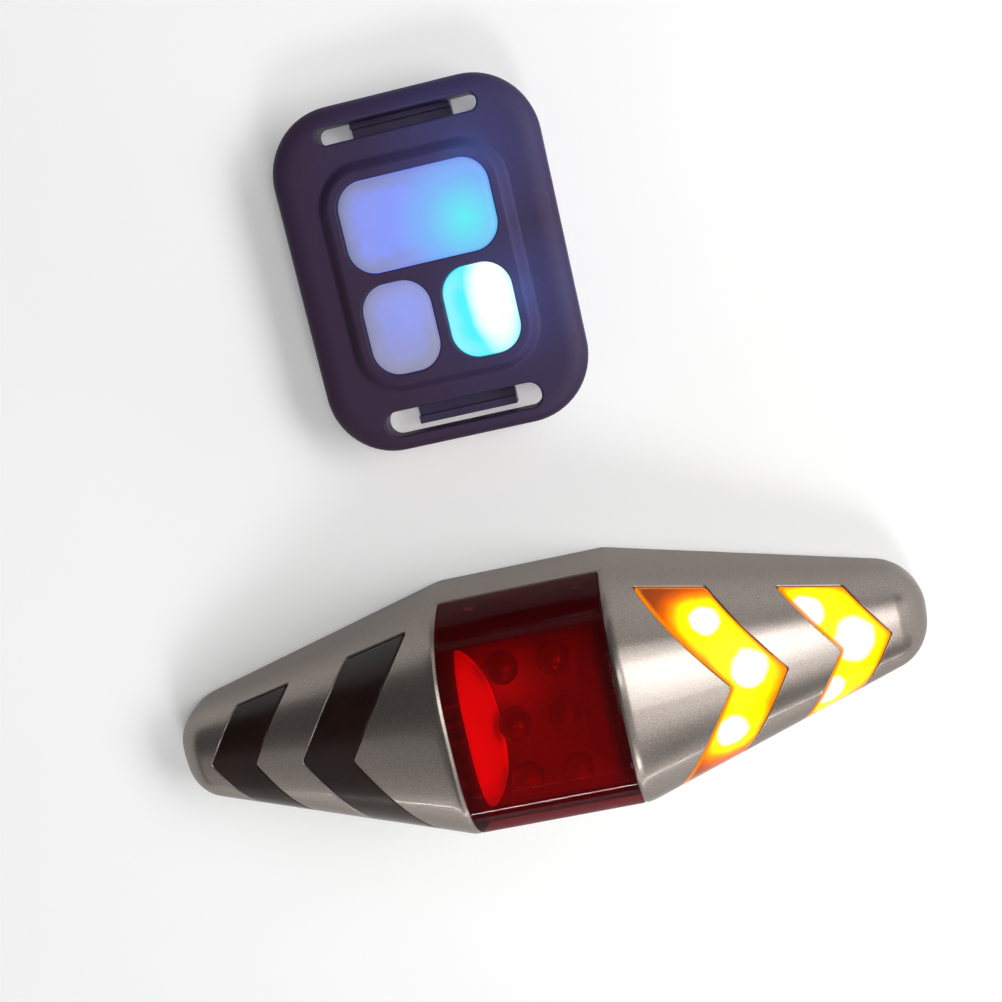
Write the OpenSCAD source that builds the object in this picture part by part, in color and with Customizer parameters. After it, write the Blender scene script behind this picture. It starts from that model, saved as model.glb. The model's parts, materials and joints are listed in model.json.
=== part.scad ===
// Bicycle turn signal light with its wireless handlebar remote.
// The light lies on its flat back: X runs along it, Y across it and Z out of its front.
// The origin is the middle of the light's back face. The remote lies beside it, on the same plane.

/* [Light body] */
// Length of the light from tip to tip
light_length = 127; // [122:1:140]
// Height of the light across its middle
light_height = 39; // [38:0.5:46]
// Depth of the light from its flat back to its front
light_depth = 31; // [30.5:0.5:38]
// Length of the straight middle before the wings taper
middle_length = 28; // [28:0.5:34]
// Radius of the rounded ends, seen from the front
nose_radius = 8.7; // [8:0.1:10]
// Squareness of the cross-section, where 2 is an ellipse
section_power = 2.9; // [2.7:0.1:3.3]
// Wall of the front housing
housing_wall = 1.8; // [1.6:0.1:2.1]

/* [Lenses] */
// Width of the red lens along the light
lens_width = 26; // [24:0.5:27]
// Height above the back at which the red lens starts
lens_start = 13.2; // [12.8:0.2:16]
// Overlap of each lens behind the housing
lens_lip = 1; // [0.6:0.1:1.3]
// Thickness of the lip behind the housing
lip_thickness = 0.9; // [0.7:0.1:1.1]
// Gap between a lens and the housing
window_gap = 0.12; // [0.08:0.02:0.2]
// Distance from the light's tip to the outer chevron's point
chevron_end_margin = 7.8; // [7.6:0.1:9]
// Distance between the points of a wing's two chevrons
chevron_pitch = 17.1; // [15.5:0.1:18]
// Width of the inner chevron along the light
inner_chevron_width = 9; // [7.5:0.1:9.6]
// Width of the outer chevron along the light
outer_chevron_width = 8.4; // [7.5:0.1:9]
// Sweep of a chevron's arms: distance along the light for each millimetre across
chevron_sweep = 0.69; // [0.55:0.01:0.8]
// Silver margin between the arm ends and the housing's edge, seen from the front
chevron_margin = 1.7; // [1.5:0.1:3]
// Length cut off each chevron corner by its rounding
chevron_corner = 1.1; // [0.5:0.1:1.6]

/* [Lamps and boards] */
// Diameter of a red lamp
red_lamp_d = 5; // [4:0.1:5.4]
// Height of a red lamp from its foot to the top of its dome
red_lamp_body = 6; // [5:0.1:6.6]
// Distance between the two columns of red lamps
red_lamp_spacing = 8; // [7:0.1:10]
// Distance between the rows of red lamps
red_lamp_pitch = 9.2; // [8:0.1:9.6]
// Diameter of an amber lamp
amber_lamp_d = 4; // [3:0.1:4.4]
// Height of an amber lamp from its foot to the top of its dome
amber_lamp_body = 4.2; // [3.8:0.1:4.5]
// Room between a lamp's dome and the lens over it
lamp_clearance = 1.5; // [1.2:0.1:2]
// Leg of a red lamp
red_leg = 0.3; // [0.2:0.1:0.5]
// Leg of the amber lamp at a chevron's point
point_leg = 1.2; // [1:0.1:1.5]
// Leg of the amber lamps on a chevron's arms
arm_leg = 0.4; // [0.3:0.1:0.6]
// Distance from the middle line to the lamps on the inner chevron's arms
inner_arm_lamp_y = 7.6; // [6:0.1:7.8]
// Distance from the middle line to the lamps on the outer chevron's arms
outer_arm_lamp_y = 4.6; // [4.3:0.1:4.8]
// Thickness of a circuit board
board_thickness = 1.2; // [0.8:0.1:1.4]
// Thickness of the reflector's walls and floor
reflector_wall = 0.9; // [0.7:0.1:1.2]

/* [Back and battery] */
// Thickness of the back cover
back_plate = 2.4; // [2.3:0.1:2.6]
// Thickness of the seal between the housing and the back cover
seal_thickness = 0.8; // [0.6:0.1:1]
// Housing rim left around the back cover
rim_wall = 1; // [0.8:0.1:1.2]
// Diameter of a battery cell
cell_d = 10.5; // [10:0.1:10.8]
// Length of a battery cell
cell_length = 44.5; // [42:0.5:46]
// Wall of the battery tray
tray_wall = 1.2; // [1:0.1:1.4]
// Thickness of the battery door
door_thickness = 1.3; // [1.1:0.1:1.4]
// Distance between the two mounting inserts
mount_spacing = 80; // [78:0.5:82]
// Radius of the bore of a mounting insert
insert_bore_r = 2.1; // [1.6:0.1:2.4]
// Outer radius of a mounting insert
insert_r = 3.2; // [3:0.1:3.3]
// Length of a mounting insert
insert_length = 4; // [3:0.1:4.2]
// Radius of a housing screw's shank
screw_r = 1; // [0.8:0.05:1.1]
// Radius of the power button's cap
power_cap_r = 3; // [2.4:0.1:3.2]
// Travel of the power button
power_travel = 0.6; // [0.4:0.1:0.7]

/* [Remote] */
// Width of the remote
remote_width = 42; // [41:0.5:48]
// Height of the remote
remote_height = 54; // [53:0.5:60]
// Height of the remote's panel above the table
remote_depth = 11.6; // [11.4:0.1:13]
// Corner radius of the remote
remote_corner = 10.5; // [8:0.5:13]
// Place of the remote's middle along the light
remote_x = -2.1; // [-20:0.1:20]
// Place of the remote's middle across the light
remote_y = 70.5; // [62:0.5:90]
// Width of the remote's pod behind its flange
pod_width = 37; // [36.6:0.1:39]
// Height of the remote's pod behind its flange
pod_height = 37.6; // [37:0.1:38.4]
// Height at which the remote's two shells meet
remote_split = 5.5; // [5.4:0.1:5.6]
// Wall of the remote's shells
remote_wall = 1.6; // [1.4:0.1:1.7]
// Width of the three keys together
keys_width = 23.2; // [21:0.1:23.6]
// Height of the three keys together
keys_height = 29.6; // [27:0.1:29.8]
// Gap between neighbouring keys
key_gap = 2.3; // [2.1:0.1:3]
// Corner radius of a key
key_corner = 4; // [2.5:0.1:4.8]
// Height of a key above the panel
key_rise = 0.5; // [0.2:0.1:1]
// Travel of a key
key_travel = 0.8; // [0.5:0.1:0.85]
// Length of a strap slot
slot_length = 25; // [20:0.5:26]
// Width of the slot at the top of the remote
top_slot_width = 2.6; // [2:0.1:3]
// Width of the slot at the foot of the remote
foot_slot_width = 4; // [3:0.1:4]
// Distance from the remote's ends to the middle of a slot
slot_inset = 4.4; // [4.2:0.1:4.8]
// Width of a strap hook
hook_width = 16; // [12:0.5:17]
// Diameter of the coin cell
coin_d = 20; // [18:0.1:20.2]
// Thickness of the coin cell
coin_thickness = 3.2; // [2.5:0.1:3.2]
// Turn of the coin door from locked to open, in degrees
door_turn = 30; // [20:1:40]

/* [Hidden] */
$fn = 48;

// Small overlap that lets a cut pass through a face
cut = 1;
// Gap between fixed pieces that sit in one another
fit_gap = 0.1;
// Gap around moving pieces
run_gap = 0.3;
// Steps in half a cross-section and around each nose
section_steps = 36;
nose_steps = 6;
// Angle at which the last nose station stops short of the tip
nose_end_angle = 84;
// Points that round one corner
corner_steps = 6;

// Body outline, seen from the front
half_height_max = light_height / 2;
taper_start = middle_length / 2;
nose_centre = light_length / 2 - nose_radius;
taper_reach = nose_centre - taper_start;
taper_angle = atan2(half_height_max, taper_reach) - asin(nose_radius / norm([taper_reach, half_height_max]));
taper = tan(taper_angle);
lens_inset = housing_wall + window_gap + lip_thickness;

// Chevrons
outer_point = light_length / 2 - chevron_end_margin;
inner_point = outer_point - chevron_pitch;
sweep_stretch = norm([1, chevron_sweep]);
// Share of the body's depth at which the chevron windows end on the sides
window_foot = 0.58;

// Back cover, battery tray and door
ledge_z = back_plate + seal_thickness;
cell_gap = 0.4;
contact_room = 2.5;
contact_thickness = 0.4;
tray_half_x = cell_length / 2 + contact_room;
tray_half_y = cell_d + cell_gap / 2 + run_gap;
tray_end = tray_half_x + tray_wall;
tray_side = tray_half_y + tray_wall;
door_recess = 0.1;
door_seal_thickness = 0.5;
door_pocket_z = door_recess + door_thickness + door_seal_thickness + fit_gap;
door_hinge_room = 1.2;
door_hinge_x = -tray_end - door_hinge_room;
door_end_x = tray_end;
door_tab_length = 2.2;
door_tab_half = 4;
door_tab_lift = 0.9;
door_tab_z = door_recess + door_tab_lift;
door_tab_thickness = 0.4;
door_tab_room = 0.2;
cell_room = 0.2;
cell_z = door_pocket_z + cell_room + cell_d / 2;
cell_y = (cell_d + cell_gap) / 2;
roof_z = cell_z + cell_d / 2 + cell_room;
roof_thickness = 0.8;
roof_top = roof_z + roof_thickness;

// Main board and red lamps
red_lamp_top = section_z(0, red_lamp_pitch, lens_inset) - lamp_clearance;
main_board_top = red_lamp_top - red_lamp_body - red_leg;
main_board_z = main_board_top - board_thickness;
main_board_margin = 1.8;
main_half_x = lens_width / 2 - main_board_margin;
main_board_side_gap = 0.75;
main_half_y = section_y(0, main_board_top, lens_inset) - main_board_side_gap;
main_post_inset = 1.6;
main_post_x = main_half_x - main_post_inset;
main_post_side_inset = 3.4;
main_post_y = main_half_y - main_post_side_inset;
contact_x = tray_half_x - contact_thickness - fit_gap / 2;
contact_tail_lap = 3;
contact_tail_end = main_half_x - contact_tail_lap;
tail_width = 2;
post_r = 1.3;
pin_r = 0.7;
pin_proud = 0.4;
lamp_rim = 0.4;
reflector_lift = 1.3;
reflector_floor_z = main_board_top + reflector_lift;

// Tilted boards under the wings, placed from the lenses above them
wing_x = inner_point - inner_chevron_width / 2;
wing_tilt = atan(taper * depth_ratio(lens_inset));
outer_lamp_back = 5.2;
outer_lamp_x = outer_point - outer_lamp_back;
arm_lamp_clearance = 0.1;
arm_sag = max(lens_sag(wing_x, inner_arm_lamp_y), lens_sag(outer_lamp_x, outer_arm_lamp_y));
board_drop = amber_lamp_body + max(lamp_clearance + point_leg, arm_lamp_clearance + arm_leg + arm_sag);
wing_board_end = wing_place(outer_lamp_x, amber_lamp_body + point_leg) + amber_lamp_d / 2 + lamp_rim;
wing_board_room = 0.6;
wing_board_start = wing_place(taper_start + lens_lip + wing_board_room, 0);
wing_board_side_gap = 0.8;
hanger_r = 1.6;
hanger_rise = 1.6;
hanger_back = 8;
hanger_inner = wing_place(inner_point - inner_chevron_width - hanger_back, board_drop);
hanger_outer = wing_place((inner_point + outer_point - outer_chevron_width) / 2, board_drop);

// Screws of the light
boss_r = 2;
screw_head_rim = 0.8;
screw_head_r = screw_r + screw_head_rim;
screw_head_height = 1.3;
screw_head_room = 0.2;
screw_hole_r = screw_r + 0.25;
screw_sink = 0.2;
screw_bite = 4.4;
screw_end = ledge_z + screw_bite;
boss_step = 0.5;
middle_boss_x = 9;
middle_boss_y = half_height_max - housing_wall - boss_r + boss_step;
end_boss_x = light_length / 2 - housing_wall - boss_r - boss_step;
middle_boss_gap = 0.4;
middle_boss_top = lens_start - lens_lip - middle_boss_gap;

// Mounting inserts
insert_boss_wall = 1;
insert_boss_r = insert_r + insert_boss_wall;
insert_boss_cap = 0.7;
insert_boss_top = insert_length + insert_boss_cap;
insert_fit = 0.02;

// Small boards between the tray and the inserts
aux_x = (tray_end + mount_spacing / 2 - insert_boss_r) / 2;
aux_half_x = 3.7;
aux_half_y = 8;
aux_post_y = 6.2;
power_flange = 0.8;
power_flange_top = back_plate + fit_gap + power_flange;
power_switch_height = 1.5;
aux_board_z = power_flange_top + power_travel + fit_gap + power_switch_height;
aux_board_top = aux_board_z + board_thickness;

// Remote
panel_rise = 1.4;
flange_top = remote_depth - panel_rise;
panel_thickness = 1.6;
panel_underside = remote_depth - panel_thickness;
panel_margin = 3.4;
pod_floor = 2.4;
pod_corner = 6;
cavity_x = pod_width - 2 * remote_wall;
cavity_y = pod_height - 2 * remote_wall;
cavity_corner = 3;
flange_wall = 1.8;
flange_ceiling = flange_top - flange_wall;
small_key_width = (keys_width - key_gap) / 2;
small_key_x = (small_key_width + key_gap) / 2;
key_height = (keys_height - key_gap) / 2;
key_y = (key_height + key_gap) / 2;
key_flange = 0.8;
key_flange_top = panel_underside - fit_gap;
key_flange_thickness = 1.1;
key_hole_gap = 0.25;
switch_top = key_flange_top - key_flange_thickness - key_travel - fit_gap;
remote_board_thickness = 1;
key_switch_height = 0.9;
remote_board_top = switch_top - key_switch_height;
remote_board_z = remote_board_top - remote_board_thickness;
remote_screw_inset = 2.3;
remote_screw_x = cavity_x / 2 - remote_screw_inset;
remote_screw_y = cavity_y / 2 - remote_screw_inset;
remote_boss_r = 2.2;
remote_post = 14.5;
slot_middle = remote_height / 2 - slot_inset;
slot_end_flat = 0.05;
hook_thickness = 2.2;
hook_z = 0.6;
hook_lip = 1.2;
hook_lip_height = 1.3;
top_hook_reach = 0.5;
foot_hook_gap = 0.6;

// Coin door
coin_door_rim = 2.4;
coin_door_r = coin_d / 2 + coin_door_rim;
coin_door_gap = 0.2;
coin_door_z = 0.2;
coin_door_top = 1.5;
coin_ledge_z = 1.9;
coin_z = 2.1;
coin_room = 0.4;
coin_ring_wall = 1.2;
lug_count = 3;
lug_reach = 1;
lug_z = 0.9;
lug_angle = 20;
lug_spare = 3;
seal_ring_r = 0.45;
seal_ring_place = coin_door_r - 1;
seal_groove_depth = 0.55;

// Half height of the body at a station, for a skin set in by the given amount
function half_height(x, inset) =
    abs(x) <= taper_start - inset * tan(taper_angle / 2)
        ? half_height_max - inset
        : abs(x) <= nose_centre + (nose_radius - inset) * sin(taper_angle)
            ? half_height_max - inset / cos(taper_angle) - taper * (abs(x) - taper_start)
            : sqrt(max(0, pow(nose_radius - inset, 2) - pow(abs(x) - nose_centre, 2)));

// Depth of the body for each millimetre of half height
function depth_ratio(inset) = (light_depth - inset) / (half_height_max - inset);

function depth(x, inset) = depth_ratio(inset) * half_height(x, inset);

// Height of the skin over a point of the plan, and half width of the skin at a height
function section_z(x, y, inset) =
    depth(x, inset) * pow(1 - pow(abs(y) / half_height(x, inset), section_power), 1 / section_power);

function section_y(x, z, inset) =
    half_height(x, inset) * pow(1 - pow(z / depth(x, inset), section_power), 1 / section_power);

function nose_x(i, inset) =
    nose_centre + (nose_radius - inset) * sin(taper_angle + (nose_end_angle - taper_angle) * i / nose_steps);

function straight_end(inset) = taper_start - inset * tan(taper_angle / 2);

function all_stations(inset) = concat(
    [for (i = [nose_steps:-1:0]) -nose_x(i, inset)],
    [-straight_end(inset), straight_end(inset)],
    [for (i = [0:nose_steps]) nose_x(i, inset)]
);

function stations(inset, from, to) = concat(
    [from],
    [for (x = all_stations(inset)) if (x > from + 0.05 && x < to - 0.05) x],
    [to]
);

function rounded_power(v) = sign(v) * pow(abs(v), 2 / section_power);

// One cross-section of the body, with its foot carried down by drop
function section_ring(x, inset, drop) = concat(
    drop > 0 ? [[x, half_height(x, inset), -drop]] : [],
    [for (i = [0:section_steps])
        let (t = 180 * i / section_steps)
        [x, half_height(x, inset) * rounded_power(cos(t)), depth(x, inset) * rounded_power(sin(t))]],
    drop > 0 ? [[x, -half_height(x, inset), -drop]] : []
);

// Outline of the body seen from the front, set in by the given amount
function plan_outline(inset) =
    let (xs = all_stations(inset), count = len(xs))
    concat(
        [for (x = xs) [x, -half_height(x, inset)]],
        [for (i = [count - 1:-1:0]) [xs[i], half_height(xs[i], inset)]]
    );

// Straight part of the taper, carried on past the nose
function taper_line(x) = half_height_max - taper * (x - taper_start);

function arm_end(x, grow) =
    (taper_line(x) - chevron_margin + grow / cos(taper_angle)) / (1 - taper * chevron_sweep);

// Six corners of a chevron, grown on every side
function chevron_corners(point, width, grow) =
    let (
        front = point + grow * sweep_stretch,
        back = point - width - grow * sweep_stretch,
        front_end = arm_end(front, grow),
        back_end = arm_end(back, grow),
        front_x = front - chevron_sweep * front_end,
        back_x = back - chevron_sweep * back_end
    )
    [
        [front, 0], [front_x, front_end], [back_x, back_end],
        [back, 0], [back_x, -back_end], [front_x, -front_end]
    ];

// A polygon whose corners are rounded off over the given length
function soft_corners(points, length) =
    let (count = len(points))
    [for (i = [0:count - 1], s = [0:corner_steps])
        let (
            corner = points[i],
            before = points[(i + count - 1) % count] - corner,
            after = points[(i + 1) % count] - corner,
            start = corner + before * length / norm(before),
            end = corner + after * length / norm(after),
            t = s / corner_steps
        )
        start * (1 - t) * (1 - t) + corner * 2 * t * (1 - t) + end * t * t];

// A rectangle with round corners, counter-clockwise
function round_rect(width, height, radius) =
    [for (quarter = [0:3], s = [0:corner_steps])
        let (
            angle = 90 * quarter + 90 * s / corner_steps,
            side_x = quarter == 0 || quarter == 3 ? 1 : -1,
            side_y = quarter < 2 ? 1 : -1
        )
        [
            side_x * (width / 2 - radius) + radius * cos(angle),
            side_y * (height / 2 - radius) + radius * sin(angle)
        ]];

function at_height(points, z) = [for (p = points) [p.x, p.y, z]];

function soft_ring(width, height, radius, inset, z) =
    at_height(round_rect(width - 2 * inset, height - 2 * inset, max(radius - inset, 0.4)), z);

// Place along a tilted board of what reaches plan position x at a height above the board
function wing_place(x, rise) = (x - wing_x + (board_drop - rise) * sin(wing_tilt)) / cos(wing_tilt);

// Drop of the lens over the shoulder of a lamp on a chevron's arm, below its height over the middle line
function lens_sag(point_x, arm_y) =
    let (
        x = point_x - chevron_sweep * arm_y,
        shoulder = amber_lamp_d / 4,
        dome_drop = amber_lamp_d / 2 - sqrt(pow(amber_lamp_d / 2, 2) - pow(shoulder, 2))
    )
    (depth(x, lens_inset) - section_z(x, arm_y + shoulder, lens_inset)) * cos(wing_tilt) - dome_drop;

// Half width of a tilted board at a place along it
function wing_board_half(place) =
    let (
        x = wing_x + place * cos(wing_tilt) - board_drop * sin(wing_tilt),
        z = depth(wing_x, lens_inset) - place * sin(wing_tilt) - board_drop * cos(wing_tilt)
    )
    section_y(x, z, lens_inset) - wing_board_side_gap;

// Closed solid through rings of equal length
module skin(rings) {
    ring_count = len(rings);
    size = len(rings[0]);
    points = [for (ring = rings, p = ring) p];
    sides = [for (i = [0:ring_count - 2], j = [0:size - 1], half = [0, 1])
        let (
            a = i * size + j,
            b = i * size + (j + 1) % size,
            c = a + size,
            d = b + size
        )
        half == 0 ? [a, c, d] : [a, d, b]];
    first_cap = [for (j = [0:size - 1]) j];
    last_cap = [for (j = [size - 1:-1:0]) (ring_count - 1) * size + j];
    polyhedron(points, concat(sides, [first_cap, last_cap]));
}

// The body set in by an amount, from one station to another
module body_slice(inset, from, to, drop = 0) {
    skin([for (x = stations(inset, from, to)) section_ring(x, inset, drop)]);
}

module whole_body(inset, drop = 0) {
    body_slice(inset, -nose_x(nose_steps, inset), nose_x(nose_steps, inset), drop);
}

module plan_plate(inset, height) {
    linear_extrude(height) polygon(plan_outline(inset));
}

module round_plate(width, height, radius, thickness) {
    linear_extrude(thickness) polygon(round_rect(width, height, radius));
}

module centred_box(x, y, z) {
    translate([-x / 2, -y / 2, 0]) cube([x, y, z]);
}

// Space of a chevron window: its outline seen from the front, down to a share of the body's depth
module chevron_prism(point, width, grow) {
    top = light_depth + cut;
    apex = taper_start + half_height_max / taper;
    foot = window_foot * depth_ratio(0) * half_height_max;
    intersection() {
        linear_extrude(top) polygon(soft_corners(chevron_corners(point, width, grow), chevron_corner));
        translate([0, light_height, -grow]) rotate([90, 0, 0]) linear_extrude(2 * light_height)
            polygon([[taper_start, foot], [apex, 0], [apex, top], [taper_start, top]]);
    }
}

// Carries a flat board's frame to its tilted place under the right wing
module wing_frame() {
    translate([wing_x, 0, depth(wing_x, lens_inset)])
        rotate([0, wing_tilt, 0])
            translate([0, 0, -board_drop]) children();
}

module left_and_right() {
    children();
    mirror([1, 0, 0]) children();
}

module four_corners(x, y) {
    for (side_x = [-1, 1], side_y = [-1, 1]) translate([side_x * x, side_y * y, 0]) children();
}

module light_screw_places() {
    four_corners(middle_boss_x, middle_boss_y) children();
    for (side = [-1, 1]) translate([side * end_boss_x, 0, 0]) children();
}

// A lamp with a flanged foot, a round body, a dome and two legs, its dome top at the given height
module lamp(diameter, body, leg) {
    radius = diameter / 2;
    foot = 0.8;
    leg_spread = 1.27;
    leg_r = 0.3;
    translate([0, 0, leg]) {
        cylinder(r = radius + lamp_rim, h = foot);
        cylinder(r = radius, h = body - radius);
        translate([0, 0, body - radius]) intersection() {
            sphere(r = radius);
            centred_box(2 * diameter, 2 * diameter, radius + cut);
        }
    }
    for (side = [-1, 1]) translate([0, side * leg_spread, 0]) cylinder(r = leg_r, h = leg + foot / 2);
}

// A cross-head screw that goes in from the back, down to the given height
module screw(end_z) {
    slot_width = 0.5;
    slot_length = 1.3 * screw_head_r;
    difference() {
        translate([0, 0, screw_sink]) {
            cylinder(r = screw_head_r, h = screw_head_height);
            cylinder(r = screw_r, h = end_z - screw_sink);
        }
        for (turn = [0, 90]) rotate([0, 0, turn]) translate([0, 0, screw_sink - cut])
            centred_box(slot_length, slot_width, cut + screw_head_height / 2);
    }
}

module screw_head_recess() {
    translate([0, 0, -cut])
        cylinder(r = screw_head_r + screw_head_room, h = screw_sink + screw_head_height + cut);
}

// Posts from the right wing's roof down to its tilted board, each with a pin through the board
module board_hangers() {
    wing_frame() for (place = [hanger_inner, hanger_outer]) translate([place, 0, 0]) {
        cylinder(r = hanger_r, h = board_drop + hanger_rise);
        translate([0, 0, -board_thickness - pin_proud])
            cylinder(r = pin_r, h = board_thickness + 2 * pin_proud);
    }
}

module front_housing() color("silver") {
    difference() {
        union() {
            difference() {
                whole_body(0);
                whole_body(housing_wall, cut);
            }
            four_corners(middle_boss_x, middle_boss_y)
                translate([0, 0, ledge_z]) cylinder(r = boss_r, h = middle_boss_top - ledge_z);
            for (side = [-1, 1]) translate([side * end_boss_x, 0, ledge_z])
                cylinder(r = boss_r, h = depth(end_boss_x, housing_wall) + fit_gap - ledge_z);
            left_and_right() board_hangers();
        }
        translate([0, 0, lens_start]) centred_box(lens_width, 2 * light_height, light_depth);
        left_and_right() {
            chevron_prism(inner_point, inner_chevron_width, 0);
            chevron_prism(outer_point, outer_chevron_width, 0);
        }
        translate([0, 0, -cut]) plan_plate(rim_wall, ledge_z + cut);
        light_screw_places() cylinder(r = screw_r + fit_gap / 2, h = screw_end + run_gap);
    }
}

module red_lens() color([0.75, 0.03, 0.05, 0.6]) {
    outer_half = lens_width / 2 - window_gap;
    lip_half = lens_width / 2 + lens_lip;
    difference() {
        union() {
            intersection() {
                body_slice(0, -outer_half, outer_half);
                translate([0, 0, lens_start + window_gap])
                    centred_box(light_length, 2 * light_height, light_depth);
            }
            intersection() {
                body_slice(housing_wall + window_gap, -lip_half, lip_half);
                translate([0, 0, lens_start - lens_lip])
                    centred_box(light_length, 2 * light_height, light_depth);
            }
        }
        body_slice(lens_inset, -lip_half - cut, lip_half + cut, cut);
    }
}

module chevron_lens(point, width) {
    from = straight_end(0) + run_gap;
    to = point + 2.5 * lens_lip;
    difference() {
        union() {
            intersection() {
                body_slice(0, from, to);
                chevron_prism(point, width, -window_gap);
            }
            intersection() {
                body_slice(housing_wall + window_gap, from, to);
                chevron_prism(point, width, lens_lip);
            }
        }
        body_slice(lens_inset, from - cut, to + cut, cut);
    }
}

module right_inner_chevron() color([1, 0.5, 0.05, 0.7]) chevron_lens(inner_point, inner_chevron_width);

module right_outer_chevron() color([1, 0.5, 0.05, 0.7]) chevron_lens(outer_point, outer_chevron_width);

module left_inner_chevron() color([0.35, 0.1, 0.03, 0.8]) mirror([1, 0, 0])
    chevron_lens(inner_point, inner_chevron_width);

module left_outer_chevron() color([0.35, 0.1, 0.03, 0.8]) mirror([1, 0, 0])
    chevron_lens(outer_point, outer_chevron_width);

module red_lamp_places() {
    for (column = [-1, 1], row = [-1:1])
        translate([column * red_lamp_spacing / 2, row * red_lamp_pitch, 0]) children();
}

module brake_reflector() color("whitesmoke") {
    foot_r = 1.2;
    lens_gap = 0.6;
    lamp_hole_r = red_lamp_d / 2 + fit_gap;
    wall_height = light_depth - reflector_floor_z;
    side_wall_height = 4;
    difference() {
        union() {
            intersection() {
                body_slice(lens_inset + lens_gap, -main_half_x, main_half_x);
                translate([0, 0, reflector_floor_z]) {
                    centred_box(2 * main_half_x, 2 * main_half_y, reflector_wall);
                    for (side = [-1, 1]) {
                        translate([side * (main_half_x - reflector_wall / 2), 0, 0])
                            centred_box(reflector_wall, 2 * main_half_y, wall_height);
                        translate([0, side * (main_half_y - reflector_wall / 2), 0])
                            centred_box(2 * main_half_x, reflector_wall, side_wall_height);
                    }
                }
            }
            four_corners(main_half_x - foot_r, main_half_y - foot_r) translate([0, 0, main_board_top])
                cylinder(r = foot_r, h = reflector_floor_z + reflector_wall / 2 - main_board_top);
        }
        red_lamp_places() translate([0, 0, reflector_floor_z - cut])
            cylinder(r = lamp_hole_r, h = reflector_wall + 2 * cut);
    }
}

module main_board() color("darkgreen") {
    translate([0, 0, main_board_z]) difference() {
        centred_box(2 * main_half_x, 2 * main_half_y, board_thickness);
        four_corners(main_post_x, main_post_y) translate([0, 0, -cut])
            cylinder(r = pin_r + fit_gap, h = board_thickness + 2 * cut);
    }
}

module main_board_chips() color("black") {
    chip_side = 3.4;
    chip_height = 1.1;
    for (side = [-1, 1]) translate([0, side * red_lamp_pitch / 2, main_board_top])
        centred_box(chip_side, chip_side, chip_height);
}

module red_leds() color("firebrick") {
    red_lamp_places() translate([0, 0, main_board_top])
        lamp(red_lamp_d, red_lamp_body, red_leg);
}

// Plate with the outline of a tilted board
module wing_plate(height) {
    start_half = wing_board_half(wing_board_start);
    end_half = wing_board_half(wing_board_end);
    linear_extrude(height) polygon([
        [wing_board_start, -start_half], [wing_board_end, -end_half],
        [wing_board_end, end_half], [wing_board_start, start_half]
    ]);
}

// Space that the back cover leaves for the right wing's board and lamps
module wing_board_space() {
    wing_frame() translate([0, 0, -board_thickness - run_gap]) wing_plate(board_drop);
}

module right_signal_board_shape() {
    difference() {
        wing_frame() translate([0, 0, -board_thickness]) difference() {
            wing_plate(board_thickness);
            for (place = [hanger_inner, hanger_outer]) translate([place, 0, -cut])
                cylinder(r = pin_r + fit_gap, h = board_thickness + 2 * cut);
        }
        contact_tails(run_gap);
    }
}

module right_signal_board() color("darkgreen") right_signal_board_shape();

module left_signal_board() color("darkgreen") mirror([1, 0, 0]) right_signal_board_shape();

// Three lamps of a chevron: one at the point and one on each arm
module chevron_lamps(point_x, arm_y) {
    point_rise = amber_lamp_body + point_leg;
    arm_rise = amber_lamp_body + arm_leg;
    arm_x = point_x - chevron_sweep * arm_y;
    translate([wing_place(point_x, point_rise), 0, 0]) lamp(amber_lamp_d, amber_lamp_body, point_leg);
    for (side = [-1, 1]) translate([wing_place(arm_x, arm_rise), side * arm_y, 0])
        lamp(amber_lamp_d, amber_lamp_body, arm_leg);
}

module right_signal_lamps() {
    wing_frame() {
        chevron_lamps(wing_x, inner_arm_lamp_y);
        chevron_lamps(outer_lamp_x, outer_arm_lamp_y);
    }
}

module right_signal_leds() color("orange") right_signal_lamps();

module left_signal_leds() color("darkorange") mirror([1, 0, 0]) right_signal_lamps();

module signal_leads() color("red") {
    lead_r = 0.45;
    lead_gap = 3;
    start = [main_half_x, (roof_top + main_board_z) / 2];
    place = wing_board_start + 2 * lead_r;
    drop = board_drop + board_thickness + lead_r + run_gap;
    end = [
        wing_x + place * cos(wing_tilt) - drop * sin(wing_tilt),
        depth(wing_x, lens_inset) - place * sin(wing_tilt) - drop * cos(wing_tilt)
    ];
    run = end - start;
    left_and_right() for (row = [-1:1]) translate([start.x, row * lead_gap, start.y])
        rotate([0, atan2(run.x, run.y), 0]) cylinder(r = lead_r, h = norm(run));
}

module aux_board(side) {
    translate([side * aux_x, 0, aux_board_z]) difference() {
        centred_box(2 * aux_half_x, 2 * aux_half_y, board_thickness);
        for (end = [-1, 1]) translate([0, end * aux_post_y, -cut])
            cylinder(r = pin_r + fit_gap, h = board_thickness + 2 * cut);
    }
}

module receiver_board() color("navy") aux_board(-1);

module receiver_antenna() color("goldenrod") {
    coil_r = 1.3;
    coil_bore = 0.9;
    coil_length = 9;
    leg_r = 0.35;
    coil_lift = 0.4;
    leg_inset = 1;
    coil_z = aux_board_top + coil_r + coil_lift;
    translate([-aux_x, 0, coil_z]) {
        rotate([90, 0, 0]) difference() {
            cylinder(r = coil_r, h = coil_length, center = true);
            cylinder(r = coil_bore, h = coil_length + cut, center = true);
        }
        for (end = [-1, 1]) translate([0, end * (coil_length / 2 - leg_inset), aux_board_top - coil_z])
            cylinder(r = leg_r, h = coil_z - aux_board_top - (coil_r + coil_bore) / 2);
    }
}

module switch_board() color("darkgreen") aux_board(1);

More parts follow.
